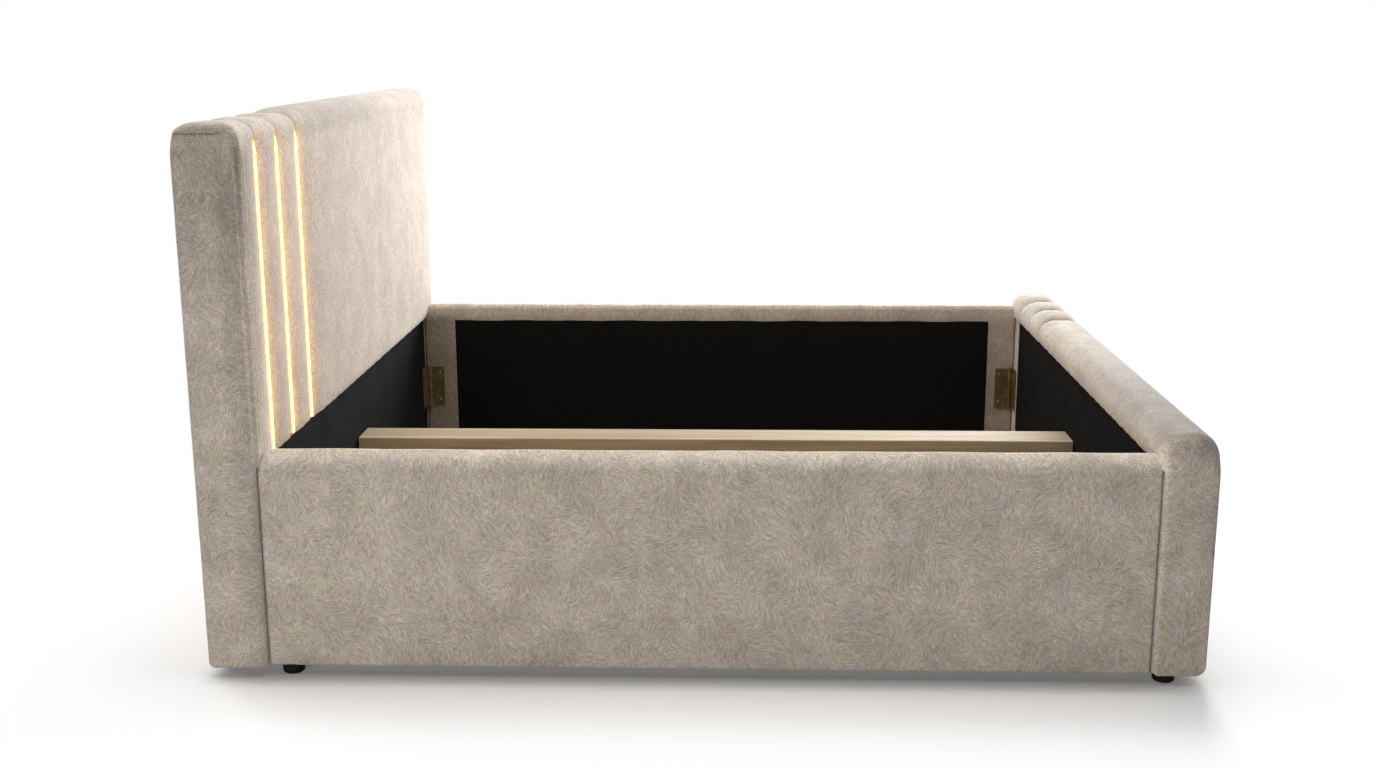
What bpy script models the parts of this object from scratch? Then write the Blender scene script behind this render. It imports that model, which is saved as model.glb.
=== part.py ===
"""An upholstered storage bed, with a channelled headboard that three light strips line.

Metres, +Z up. +X runs from the headboard to the footboard, and the origin lies on the floor
under the middle of the bed. Left and right are as seen from the foot, so left is -Y.
"""
import math

import bmesh
import bpy
from mathutils import Vector

# Driving dimensions: the bed
gap = 0.0003
rail_length = 2.02
inner_width = 1.811
bottom_height = 0.025
base_height = 0.3285
lining_thickness = 0.002

# Driving dimensions: the side rails
rail_thickness = 0.055
rail_below_footboard = 0.049
rail_edge = 0.015
rail_head_corner = 0.04
rail_foot_corner = 0.027
rail_low_corner = 0.01
rail_board_thickness = 0.03
rail_inner_skin = 0.003
rail_board_inset = 0.02
rail_top_padding = 0.022
rail_head_band = 0.108
rail_foot_band = 0.094
rail_hem_drop = 0.044

# Driving dimensions: the headboard
headboard_thickness = 0.134
headboard_height = 1.27
headboard_overhang = 0.02
headboard_wall = 0.012
headboard_edge = 0.012
headboard_low_corner = 0.017
headboard_pad_depth = 0.0203
headboard_top_padding = 0.03
headboard_front_corner = 0.045
headboard_board_thickness = 0.0147
headboard_board_corner = 0.01
headboard_middle_rail = 0.08

# Driving dimensions: the footboard
footboard_thickness = 0.117
footboard_height = 0.584
hem_below_footboard = 0.0863
footboard_overhang = 0.01
footboard_inner_pad = 0.0123
footboard_outer_pad = 0.02
footboard_top_padding = 0.03
footboard_corner = 0.05
footboard_low_corner = 0.015
footboard_board_thickness = 0.015
footboard_board_corner = 0.008
footboard_end_cover = 0.012
footboard_lining_inset = 0.065

# Driving dimensions: the timber frames inside the head and foot boards
member = 0.04
bay_count = 8

# Driving dimensions: the channels of the pads
roll_count = 3
headboard_roll_width = 0.162
headboard_end_roll_width = 0.14
footboard_roll_width = 0.155
footboard_end_roll_width = 0.15
roll_fullness_share = 0.85
groove_depth_share = 0.6
end_edge_reach = 0.03
end_edge_share = 0.15
groove_reach = 0.078
wide_groove_reach = 0.15
hem_thickness = 0.0045
back_edge_angle = math.radians(80)
low_edge_share = 0.4

# Driving dimensions: the light strips and their supply
led_channel_width = 0.01
led_channel_depth = 0.006
led_channel_wall = 0.0012
led_above_hem = 0.0073
led_below_top = 0.048
led_head_radius = 0.004
led_stem_width = 0.0068
driver_size = (0.03, 0.16, 0.045)
inlet_radius = 0.008
inlet_depth = 0.03

# Driving dimensions: the corner connectors
leaf_width = 0.048
leaf_thickness = 0.0025
leaf_height = 0.138
barrel_from_board = 0.016
barrel_from_rail = 0.009
barrel_radius = 0.006
pin_radius = 0.0035
pin_clearance = 0.0002
pin_head_radius = 0.0055
pin_head_height = 0.003
pin_tip = 0.004
knuckle_count = 5

# Driving dimensions: the centre beam and its supports
beam_width = 0.112
beam_depth = 0.035
beam_end_clearance = 0.001
bracket_seat_length = 0.17
bracket_drop = 0.05
bracket_width = 0.1
steel_thickness = 0.003
leg_from_head = 0.968
leg_plate_size = 0.095
leg_radius = 0.02
glide_height = 0.014

# Driving dimensions: the feet and the storage floor
foot_radius = 0.025
foot_chamfer = 0.003
foot_from_head = 0.05
foot_from_foot = 0.035
ledge_depth = 0.025
ledge_height = 0.02
batten_width = 0.09
floor_thickness = 0.006
floor_clearance = 0.001
leg_clearance = 0.002

# One overrun serves all cuts, and one small radius all corners that are nearly sharp
overrun = 0.01
sharp_corner = 0.001

# Counts of steps along the round stretches
corner_steps = 5
edge_steps = 4
round_steps = 24
barrel_steps = 14

# Places that follow from the dimensions above
total_length = headboard_thickness + rail_length + footboard_thickness
head_plane = headboard_thickness - total_length / 2
foot_plane = head_plane + rail_length
headboard_back = head_plane - headboard_thickness
footboard_outer = foot_plane + footboard_thickness
rail_inner = inner_width / 2
rail_outer = rail_inner + rail_thickness
headboard_half = rail_outer + headboard_overhang
footboard_half = rail_outer + footboard_overhang
headboard_skin = head_plane - gap - lining_thickness
footboard_skin = foot_plane + gap + lining_thickness
headboard_frame_top = headboard_height - headboard_top_padding
footboard_frame_top = footboard_height - footboard_top_padding
hem_height = footboard_height - hem_below_footboard
rail_top = footboard_height - rail_below_footboard
rail_hem_height = rail_top - rail_hem_drop
led_low_end = hem_height + led_above_hem
led_high_end = headboard_height - led_below_top
leg_x = head_plane + leg_from_head
floor_level = bottom_height + ledge_height

# Colour, roughness and metallic value of each finish
looks = {
    "upholstery": ((0.47, 0.41, 0.35), 0.95, 0.0),
    "lining": ((0.012, 0.012, 0.012), 0.95, 0.0),
    "pine": ((0.50, 0.39, 0.25), 0.6, 0.0),
    "board": ((0.42, 0.31, 0.19), 0.7, 0.0),
    "bronze": ((0.12, 0.085, 0.045), 0.45, 0.9),
    "steel": ((0.03, 0.03, 0.03), 0.5, 0.6),
    "aluminium": ((0.70, 0.70, 0.70), 0.35, 1.0),
    "light": ((1.0, 0.86, 0.62), 0.4, 0.0),
    "plastic": ((0.012, 0.012, 0.013), 0.45, 0.0),
}


def clear_scene():
    """Take away whatever the open file holds."""
    for item in list(bpy.data.objects):
        bpy.data.objects.remove(item)


def own_material(name, look):
    """A material for one piece, with its finish's colour, roughness and metallic value."""
    colour, roughness, metallic = looks[look]
    material = bpy.data.materials.new(name)
    material.use_nodes = True
    shader = material.node_tree.nodes["Principled BSDF"]
    shader.inputs["Base Color"].default_value = (*colour, 1.0)
    shader.inputs["Roughness"].default_value = roughness
    shader.inputs["Metallic"].default_value = metallic
    material.diffuse_color = (*colour, 1.0)
    return material


def solid(name, vertices, faces, look, origin=None, smooth_angle=None):
    """One closed piece from world places, with its object's origin at the given point or its middle."""
    if origin is None:
        low = [min(place[axis] for place in vertices) for axis in range(3)]
        high = [max(place[axis] for place in vertices) for axis in range(3)]
        origin = [(a + b) / 2 for a, b in zip(low, high)]
    origin = Vector(origin)
    mesh = bpy.data.meshes.new(name)
    mesh.from_pydata([Vector(place) - origin for place in vertices], [], faces)
    shape = bmesh.new()
    shape.from_mesh(mesh)
    bmesh.ops.recalc_face_normals(shape, faces=shape.faces)
    shape.to_mesh(mesh)
    shape.free()
    if smooth_angle is not None:
        mesh.shade_smooth()
        mesh.set_sharp_from_angle(angle=smooth_angle)
    piece = bpy.data.objects.new(name, mesh)
    piece.location = origin
    bpy.context.scene.collection.objects.link(piece)
    mesh.materials.append(own_material(name, look))
    return piece


def combine(piece, tool, operation):
    """Join or cut the piece with the tool, and take the tool away."""
    bpy.context.view_layer.update()
    step = piece.modifiers.new(operation, "BOOLEAN")
    step.operation = operation
    step.solver = "EXACT"
    step.object = tool
    graph = bpy.context.evaluated_depsgraph_get()
    shape = bpy.data.meshes.new_from_object(piece.evaluated_get(graph))
    shape.materials.clear()
    shape.materials.append(piece.data.materials[0])
    piece.modifiers.clear()
    piece.data = shape
    bpy.data.objects.remove(tool)
    return piece


def prism(name, outline, low, high, look, axis=1, origin=None):
    """A closed outline carried straight from low to high along one axis.

    The outline's two numbers are the places on the other two axes, in X, Y, Z order.
    """
    rings = []
    for level in (low, high):
        ring = []
        for point in outline:
            place = list(point)
            place.insert(axis, level)
            ring.append(place)
        rings.append(ring)
    return loft(name, rings, look, origin)


def loft(name, rings, look, origin=None, smooth_angle=None):
    """A closed solid through rings of as many points each, with a flat face at both ends."""
    count = len(rings[0])
    vertices = [place for ring in rings for place in ring]
    faces = [list(range(count)), list(range(len(vertices) - count, len(vertices)))]
    for level in range(len(rings) - 1):
        for step in range(count):
            following = (step + 1) % count
            start = level * count
            above = start + count
            faces.append((start + step, start + following, above + following, above + step))
    return solid(name, vertices, faces, look, origin, smooth_angle)


def block(name, low, high, look, origin=None):
    """A plain box between two corners."""
    outline = [(low[0], low[2]), (high[0], low[2]), (high[0], high[2]), (low[0], high[2])]
    return prism(name, outline, low[1], high[1], look, origin=origin)


def cut_box(piece, low, high):
    """Cut a box out of the piece."""
    return combine(piece, block("cutter", low, high, "steel"), "DIFFERENCE")


def circle(centre, radius, steps):
    """Points of a circle round a centre, anticlockwise."""
    turn = 2 * math.pi / steps
    return [(centre[0] + radius * math.cos(turn * step), centre[1] + radius * math.sin(turn * step))
            for step in range(steps)]


def rod(name, x, y, low, high, radius, look, steps=round_steps, origin=None):
    """An upright round bar."""
    piece = prism(name, circle((x, y), radius, steps), low, high, look, axis=2, origin=origin)
    piece.data.shade_smooth()
    piece.data.set_sharp_from_angle(angle=math.radians(40))
    return piece


def rounded_box_outline(low, high, radii):
    """A rectangle with an arc at each corner.

    The radii run anticlockwise from the low corner: low left, low right, high right, high left.
    """
    corners = [(low[0], low[1], 1, 1), (high[0], low[1], -1, 1),
               (high[0], high[1], -1, -1), (low[0], high[1], 1, -1)]
    outline = []
    for number, ((x, z, to_right, to_top), radius) in enumerate(zip(corners, radii)):
        first_angle = math.pi + number * math.pi / 2
        for step in range(corner_steps + 1):
            angle = first_angle + step * math.pi / 2 / corner_steps
            outline.append((x + to_right * radius + radius * math.cos(angle),
                            z + to_top * radius + radius * math.sin(angle)))
    return outline


def pillow(name, low, high, radii, edge, look):
    """A slab across Y whose XZ outline has round corners and whose two edges are quarter rounds.

    Each ring is the outline drawn in by edge * (1 - cos a) at a depth of edge * (1 - sin a),
    and by less along its lower side, where the cloth is stretched tight.
    """
    quarter = [step * math.pi / 2 / edge_steps for step in range(edge_steps + 1)]
    stations = [(low[1] + edge * (1 - math.sin(angle)), edge * (1 - math.cos(angle)))
                for angle in reversed(quarter)]
    stations += [(high[1] - edge * (1 - math.sin(angle)), edge * (1 - math.cos(angle)))
                 for angle in quarter]
    rings = []
    for y, inset in stations:
        outline = rounded_box_outline((low[0] + inset, low[2] + inset * low_edge_share),
                                      (high[0] - inset, high[2] - inset),
                                      [max(radius - inset, sharp_corner) for radius in radii])
        rings.append([(x, y, z) for x, z in outline])
    return loft(name, rings, look, smooth_angle=math.radians(50))


def arc(centre, radius, first, last):
    """Points along an arc in XZ, between two angles measured from +X towards +Z."""
    return [(centre[0] + radius * math.cos(first + (last - first) * step / corner_steps),
             centre[1] + radius * math.sin(first + (last - first) * step / corner_steps))
            for step in range(corner_steps + 1)]


def over_flat(points, x=None, z=None):
    """Pair each outer point with the inner point straight behind it, on an upright or a level line."""
    return [(point, (point[0] if x is None else x, point[1] if z is None else z)) for point in points]


def over_corner(corner, radius, core_corner, core_radius, to_right, first, last):
    """Pair an arc round an outer corner with the arc of as many steps round the core's corner."""
    pairs = []
    for place, size in ((corner, radius), (core_corner, core_radius)):
        centre = (place[0] - to_right * size, place[1] - size)
        pairs.append(arc(centre, size, first, last))
    return list(zip(*pairs))


def edge_share(distance, reach, least_share, full_share):
    """How full a pad is at a distance from its edge: a quarter ellipse from its least share up."""
    if distance >= reach:
        return full_share
    return least_share + (full_share - least_share) * math.sqrt(1 - (1 - distance / reach) ** 2)


def pad_stations(low, high, low_edge, high_edge, full_share=1.0):
    """Places across a pad, close together near its edges, each with how full the pad is there.

    An edge is its reach and its least share.
    """
    middle = (low + high) / 2
    low_reach = min(low_edge[0], middle - low)
    high_reach = min(high_edge[0], high - middle)
    drawn = [1 - math.cos(step * math.pi / 2 / edge_steps) for step in range(edge_steps + 1)]
    places = {low + low_reach * share for share in drawn} | {high - high_reach * share for share in drawn}
    stations = []
    for place in sorted(places):
        if stations and place - stations[-1][0] < gap:
            continue
        share = min(edge_share(place - low, low_reach, low_edge[1], full_share),
                    edge_share(high - place, high_reach, high_edge[1], full_share))
        stations.append((place, share))
    return stations


def padded_strip(name, path, stations):
    """A crowned pad that wraps a core.

    The path holds pairs of points in XZ, on its outer skin and on its inner one. At each place
    across the bed the outer skin is drawn in towards the inner one by how full the pad is.
    """
    count = len(path)
    vertices = []
    for y, share in stations:
        vertices += [(b[0] + (a[0] - b[0]) * share, y, b[1] + (a[1] - b[1]) * share) for a, b in path]
        vertices += [(x, y, z) for _, (x, z) in path]
    faces = []
    for row in range(len(stations) - 1):
        start = row * 2 * count
        ahead = start + 2 * count
        for step in range(count - 1):
            for skin in (step, step + count):
                faces.append((start + skin, start + skin + 1, ahead + skin + 1, ahead + skin))
        for skin in (0, count - 1):
            faces.append((start + skin, start + skin + count, ahead + skin + count, ahead + skin))
    for start in (0, (len(stations) - 1) * 2 * count):
        for step in range(count - 1):
            faces.append((start + step, start + step + 1, start + step + 1 + count, start + step + count))
    return solid(name, vertices, faces, "upholstery", smooth_angle=math.radians(60))


def headboard_path():
    """The line of the headboard's pads, from the front hem over the top to the back edge."""
    front = headboard_skin + headboard_pad_depth
    top = headboard_frame_top
    hem_radius = headboard_pad_depth - hem_thickness
    hem_level = hem_height + gap
    quarter = math.pi / 2
    path = over_flat(arc((front - hem_radius, hem_level + hem_radius), hem_radius, -quarter, 0),
                     x=headboard_skin)
    path += over_corner((front, headboard_height), headboard_front_corner,
                        (headboard_skin, top), headboard_board_corner + gap, 1, 0, quarter)
    path += over_flat(arc((headboard_back + headboard_top_padding, top), headboard_top_padding,
                          quarter, quarter + back_edge_angle), z=top)
    return path


def groove_places():
    """Where the headboard's grooves lie, from the left end inwards."""
    first = -headboard_half + headboard_end_roll_width
    return [first + number * headboard_roll_width for number in range(roll_count)]


def make_headboard_pads():
    """Three rolls at the left end and the wide pad, cut where a rail's end and a light strip go."""
    grooves = groove_places()
    edges = [-headboard_half] + grooves + [headboard_half]
    groove_edge = (groove_reach, 1 - groove_depth_share)
    wide_edge = (wide_groove_reach, 1 - groove_depth_share)
    end_edge = (end_edge_reach, end_edge_share)
    for number in range(roll_count + 1):
        first, last = edges[number], edges[number + 1]
        at_left_end = number == 0
        at_right_end = number == roll_count
        name = "headboard_main_pad" if at_right_end else f"headboard_roll_{number + 1}"
        low = first if at_left_end else first + gap / 2
        high = last if at_right_end else last - gap / 2
        low_edge = end_edge if at_left_end else (wide_edge if at_right_end else groove_edge)
        stations = pad_stations(low, high, low_edge, end_edge if at_right_end else groove_edge,
                                1.0 if at_right_end else roll_fullness_share)
        pad = padded_strip(name, headboard_path(), stations)
        for groove in grooves:
            if groove in (first, last):
                half = led_channel_width / 2 + gap
                cut_box(pad, (headboard_skin - overrun, groove - half, led_low_end - gap),
                        (head_plane + headboard_pad_depth, groove + half, led_high_end + gap))
        if at_left_end:
            cut_box(pad, (headboard_skin - overrun, -headboard_half - overrun, hem_height - overrun),
                    (head_plane + rail_head_corner, -rail_inner + gap, rail_top + gap))
        if at_right_end:
            cut_box(pad, (headboard_skin - overrun, rail_inner - gap, hem_height - overrun),
                    (head_plane + rail_head_corner, headboard_half + overrun, rail_top + gap))


def make_headboard_cover():
    """The stuffed cloth cover of the ends, the back and the foot, open to the front and the top."""
    least = sharp_corner
    cover = pillow("headboard_cover", (headboard_back, -headboard_half, bottom_height),
                   (head_plane - gap, headboard_half, headboard_frame_top + headboard_edge),
                   (headboard_low_corner, headboard_low_corner, least, least), headboard_edge, "upholstery")
    front = headboard_skin - gap
    top = headboard_frame_top - gap
    corner = headboard_board_corner
    above = [(front, rail_top)]
    above += arc((front - corner, top - corner), corner, 0, math.pi / 2)
    above += [(headboard_back - overrun, top), (headboard_back - overrun, headboard_height),
              (head_plane + overrun, headboard_height), (head_plane + overrun, rail_top)]
    wide = headboard_half + overrun
    combine(cover, prism("cutter", above, -wide, wide, "steel"), "DIFFERENCE")
    pocket = headboard_half - headboard_wall
    cut_box(cover, (headboard_back + headboard_wall, -pocket, bottom_height + headboard_wall),
            (headboard_skin, pocket, headboard_height))
    cut_box(cover, (headboard_skin - overrun, -rail_inner, bottom_height + headboard_wall),
            (head_plane + overrun, rail_inner, headboard_height))
    hole = prism("cutter", circle(bay_middle(0), inlet_radius + gap, barrel_steps),
                 headboard_back - overrun, headboard_back + headboard_wall + overrun, "steel", axis=0)
    return combine(cover, hole, "DIFFERENCE")


def bays(half):
    """The bays between a timber frame's studs, each as its two places across the bed."""
    width = (2 * half - (bay_count + 1) * member) / bay_count
    starts = [-half + member + number * (width + member) for number in range(bay_count)]
    return [(start, start + width) for start in starts]


def bay_levels():
    """The lowest and highest place of the headboard's lower bays, and of its upper ones."""
    low = bottom_height + headboard_wall + gap + member
    high = headboard_frame_top - gap - member
    middle = base_height - beam_depth
    return (low, middle - headboard_middle_rail / 2), (middle + headboard_middle_rail / 2, high)


def bay_middle(number):
    """The middle of one of the headboard's lower bays, across the bed and in height."""
    across = bays(headboard_half - headboard_wall - gap)[number]
    return sum(across) / 2, sum(bay_levels()[0]) / 2


def make_headboard_frame():
    """The timber frame with its studs and middle rail, and the plywood that carries the pads."""
    half = headboard_half - headboard_wall - gap
    low = bottom_height + headboard_wall + gap
    high = headboard_frame_top - gap
    board_back = headboard_skin - gap - headboard_board_thickness
    frame_back = headboard_back + headboard_wall + gap
    frame = block("headboard_frame", (frame_back, -half, low), (board_back - gap, half, high), "pine")
    for window_low, window_high in bay_levels():
        for bay_low, bay_high in bays(half):
            cut_box(frame, (frame_back - overrun, bay_low, window_low),
                    (board_back + overrun, bay_high, window_high))
    outline = rounded_box_outline((board_back, low), (headboard_skin - gap, high),
                                  (sharp_corner, sharp_corner, headboard_board_corner, sharp_corner))
    prism("headboard_front_board", outline, -half, half, "board")


def make_light_strips():
    """An aluminium channel in each groove, with a round-headed diffuser pressed into it."""
    back = headboard_skin
    wall = led_channel_wall
    half = led_channel_width / 2
    front = back + led_channel_depth
    for number, groove in enumerate(groove_places(), start=1):
        channel = [(back, groove - half), (front, groove - half), (front, groove - half + wall),
                   (back + wall, groove - half + wall), (back + wall, groove + half - wall),
                   (front, groove + half - wall), (front, groove + half), (back, groove + half)]
        prism(f"led_channel_{number}", channel, led_low_end, led_high_end, "aluminium", axis=2)
        stem = led_stem_width / 2
        head = front + gap
        diffuser = [(back + wall + gap, groove + stem), (back + wall + gap, groove - stem)]
        diffuser += [(head, groove - stem), (head, groove - led_head_radius)]
        turn = math.pi / 2 / edge_steps
        for step in range(1 - edge_steps, edge_steps):
            diffuser.append((head + led_head_radius * math.cos(turn * step),
                             groove + led_head_radius * math.sin(turn * step)))
        diffuser += [(head, groove + led_head_radius), (head, groove + stem)]
        prism(f"led_diffuser_{number}", diffuser, led_low_end, led_high_end, "light", axis=2)


def make_light_supply():
    """The driver on the back of the plywood, and the round inlet in the back of the cover."""
    front = headboard_skin - headboard_board_thickness - gap - gap
    depth, width, height = driver_size
    y, z = bay_middle(1)
    block("led_driver", (front - depth, y - width / 2, z - height / 2),
          (front, y + width / 2, z + height / 2), "plastic")
    prism("power_inlet", circle(bay_middle(0), inlet_radius, barrel_steps),
          headboard_back, headboard_back + inlet_depth, "plastic", axis=0)


def make_headboard_lining():
    """The black cloth on the headboard between the rails, up to the pads' hem."""
    side = rail_inner - gap
    block("headboard_lining", (headboard_skin, -side, bottom_height + headboard_wall + gap),
          (head_plane - gap, side, hem_height), "lining")


def footboard_path():
    """The line of the footboard's pads: inner hem, round top, outer face and bottom edge."""
    inner = footboard_skin - footboard_inner_pad
    outer_core = footboard_outer - footboard_outer_pad
    top = footboard_frame_top
    core_radius = footboard_board_corner + gap
    hem_radius = footboard_inner_pad - hem_thickness
    hem_level = hem_height + gap
    low = footboard_low_corner
    quarter = math.pi / 2
    path = over_flat(arc((inner + hem_radius, hem_level + hem_radius), hem_radius, -quarter, -math.pi),
                     x=footboard_skin)
    path += over_corner((inner, footboard_height), footboard_corner,
                        (footboard_skin, top), core_radius, -1, math.pi, quarter)
    path += over_corner((footboard_outer, footboard_height), footboard_corner,
                        (outer_core, top), core_radius, 1, quarter, 0)
    path += over_flat(arc((footboard_outer - low, bottom_height + low), low, 0, -quarter), x=outer_core)
    return path


def make_footboard_pads():
    """The wide pad and three rolls at the right end."""
    first_groove = footboard_half - footboard_end_roll_width - (roll_count - 1) * footboard_roll_width
    grooves = [first_groove + number * footboard_roll_width for number in range(roll_count)]
    edges = [-footboard_half] + grooves + [footboard_half]
    groove_edge = (groove_reach, 1 - groove_depth_share)
    end_edge = (end_edge_reach, end_edge_share)
    names = ["footboard_main_pad"] + [f"footboard_roll_{number + 1}" for number in range(roll_count)]
    for number, name in enumerate(names):
        at_left_end = number == 0
        at_right_end = number == roll_count
        low = edges[number] if at_left_end else edges[number] + gap / 2
        high = edges[number + 1] if at_right_end else edges[number + 1] - gap / 2
        stations = pad_stations(low, high, end_edge if at_left_end else groove_edge,
                                end_edge if at_right_end else groove_edge)
        pad = padded_strip(name, footboard_path(), stations)
        side = rail_inner - gap
        cut_low = (foot_plane - rail_foot_corner, hem_height - overrun)
        cut_high = (footboard_skin, rail_top + gap)
        if at_left_end:
            cut_box(pad, (cut_low[0], -footboard_half - overrun, cut_low[1]),
                    (cut_high[0], -side, cut_high[1]))
        if at_right_end:
            cut_box(pad, (cut_low[0], side, cut_low[1]),
                    (cut_high[0], footboard_half + overrun, cut_high[1]))


def make_footboard_frame():
    """The plywood on the inner side and the timber frame behind it."""
    half = footboard_half - footboard_end_cover - gap
    outer = footboard_outer - footboard_outer_pad - gap
    low = bottom_height
    high = footboard_frame_top - gap
    board_front = footboard_skin + gap
    board_back = board_front + footboard_board_thickness
    corner = footboard_board_corner
    outline = rounded_box_outline((board_front, low), (board_back, high),
                                  (sharp_corner, sharp_corner, sharp_corner, corner))
    prism("footboard_inner_board", outline, -half, half, "board")
    outline = rounded_box_outline((board_back + gap, low), (outer, high),
                                  (sharp_corner, sharp_corner, corner, sharp_corner))
    frame = prism("footboard_frame", outline, -half, half, "pine")
    for bay_low, bay_high in bays(half):
        cut_box(frame, (board_back - overrun, bay_low, low + member),
                (outer + overrun, bay_high, high - member))


def make_footboard_covers():
    """The cloth on each end, which turns in behind the rail's end, and the black lining between."""
    lining_half = rail_inner - footboard_lining_inset
    end = footboard_half - footboard_end_cover
    outer = footboard_outer - footboard_outer_pad - gap
    corner = footboard_board_corner
    for side, name in ((-1, "footboard_end_cover_left"), (1, "footboard_end_cover_right")):
        outline = rounded_box_outline((footboard_skin + gap, bottom_height),
                                      (outer, footboard_frame_top - gap),
                                      (sharp_corner, sharp_corner, corner, corner))
        y_low, y_high = sorted((side * end, side * footboard_half))
        cover = prism(name, outline, y_low, y_high, "upholstery")
        y_low, y_high = sorted((side * (lining_half + gap), side * footboard_half))
        flap_low = (foot_plane + gap, y_low, bottom_height)
        flap = block("flap", flap_low, (footboard_skin, y_high, hem_height), "upholstery")
        y_low, y_high = sorted((side * (end + gap), side * footboard_half))
        bridge = block("bridge", flap_low[:1] + (y_low, bottom_height),
                       (footboard_skin + corner, y_high, hem_height), "upholstery")
        combine(cover, bridge, "UNION")
        combine(cover, flap, "UNION")
    block("footboard_lining", (foot_plane + gap, -lining_half, bottom_height),
          (footboard_skin, lining_half, hem_height), "lining")


def make_rail(side, word):
    """A side rail: its timber board, its padded cover and the black lining in the cover's window."""
    inner = side * rail_inner
    outer = side * rail_outer
    board_inner = inner + side * rail_inner_skin
    board_outer = board_inner + side * rail_board_thickness
    y_low, y_high = sorted((inner, outer))
    cover = pillow(f"rail_cover_{word}", (head_plane + gap, y_low, bottom_height),
                   (foot_plane - gap, y_high, rail_top),
                   (rail_low_corner, rail_low_corner, rail_foot_corner, rail_head_corner),
                   rail_edge, "upholstery")
    board_low = (head_plane + rail_board_inset, bottom_height + rail_board_inset)
    board_high = (foot_plane - rail_board_inset, rail_top - rail_top_padding)
    y_low, y_high = sorted((board_inner, board_outer))
    block(f"rail_board_{word}", (board_low[0], y_low, board_low[1]), (board_high[0], y_high, board_high[1]),
          "pine")
    cut_box(cover, (board_low[0] - gap, y_low - gap, board_low[1] - gap),
            (board_high[0] + gap, y_high + gap, board_high[1] + gap))
    window = (head_plane + rail_head_band, foot_plane - rail_foot_band)
    y_low, y_high = sorted((board_inner, inner - side * overrun))
    cut_box(cover, (window[0], y_low, board_low[1]), (window[1], y_high, rail_hem_height))
    y_low, y_high = sorted((board_inner - side * gap, inner))
    block(f"rail_lining_{word}", (window[0] + gap, y_low, board_low[1] + gap),
          (window[1] - gap, y_high, rail_hem_height - gap), "lining")


def barrel(x, y, low, high, radius):
    """An upright cylinder for a hinge's barrel or a cutter."""
    return rod("cutter", x, y, low, high, radius, "steel", steps=barrel_steps)


def make_leaf(name, outline, axis, own, levels):
    """One leaf of a connector: its plate and its knuckles, cleared for the other leaf's and bored."""
    leaf = prism(name, outline, levels[0], levels[-1], "bronze", axis=2)
    for number in range(knuckle_count):
        low, high = levels[number], levels[number + 1]
        if number % 2 == own:
            combine(leaf, barrel(*axis, low, high - gap, barrel_radius), "UNION")
        else:
            combine(leaf, barrel(*axis, low - gap, high, barrel_radius + gap), "DIFFERENCE")
    combine(leaf, barrel(*axis, levels[0] - overrun, levels[-1] + overrun, pin_radius + pin_clearance),
            "DIFFERENCE")
    return leaf


def make_connector(end, side, word):
    """A corner connector: a leaf on the rail, a leaf on the head or foot board, and a loose pin.

    Both leaves are bent out to a barrel that stands clear of the corner. Their outlines are
    written as distances from the board and from the rail.
    """
    corner = (head_plane if end > 0 else foot_plane, side * (rail_inner - gap))

    def from_corner(off_board, off_rail):
        return (corner[0] + end * off_board, corner[1] - side * off_rail)

    axis = from_corner(barrel_from_board, barrel_from_rail)
    top = base_height
    levels = [top - leaf_height + leaf_height * number / knuckle_count for number in range(knuckle_count + 1)]
    thick = leaf_thickness
    near, far = barrel_from_board, barrel_from_board + leaf_width
    outline = [(near, 0), (far, 0), (far, thick), (near + thick, thick),
               (near + thick, barrel_from_rail), (near, barrel_from_rail)]
    make_leaf(f"rail_leaf_{word}", [from_corner(*place) for place in outline], axis, 0, levels)
    near, far = barrel_from_rail, barrel_from_rail + leaf_width
    outline = [(0, near), (0, far), (thick, far), (thick, near + thick),
               (barrel_from_board, near + thick), (barrel_from_board, near)]
    make_leaf(f"board_leaf_{word}", [from_corner(*place) for place in outline], axis, 1, levels)
    origin = (*axis, levels[0])
    pin = rod(f"connector_pin_{word}", *axis, levels[0] - pin_tip, top + gap + pin_head_height, pin_radius,
              "bronze", steps=barrel_steps, origin=origin)
    head = barrel(*axis, top + gap, top + gap + pin_head_height, pin_head_radius)
    combine(pin, head, "UNION")


def make_beam():
    """The centre beam on its two end brackets, and the leg that holds up its middle."""
    beam_bottom = base_height - beam_depth
    beam_half = beam_width / 2
    block("centre_beam", (head_plane + beam_end_clearance, -beam_half, beam_bottom),
          (foot_plane - beam_end_clearance, beam_half, base_height), "pine")
    seat_top = beam_bottom - gap
    seat_low = seat_top - steel_thickness
    half = bracket_width / 2
    for end, plane, word in ((1, head_plane, "head"), (-1, foot_plane, "foot")):
        outline = [(plane, seat_top),
                   (plane, seat_top - bracket_drop),
                   (plane + end * steel_thickness, seat_top - bracket_drop),
                   (plane + end * steel_thickness, seat_low),
                   (plane + end * bracket_seat_length, seat_low),
                   (plane + end * bracket_seat_length, seat_top)]
        prism(f"beam_bracket_{word}", outline, -half, half, "steel")
    origin = (leg_x, 0, 0)
    plate_half = leg_plate_size / 2
    plate_low = beam_bottom - gap - steel_thickness
    block("leg_plate", (leg_x - plate_half, -plate_half, plate_low),
          (leg_x + plate_half, plate_half, plate_low + steel_thickness), "steel")
    rod("centre_leg", leg_x, 0, glide_height, plate_low - gap, leg_radius, "steel", origin=origin)
    rod("leg_glide", leg_x, 0, 0, glide_height - gap, leg_radius, "plastic", origin=origin)


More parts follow.
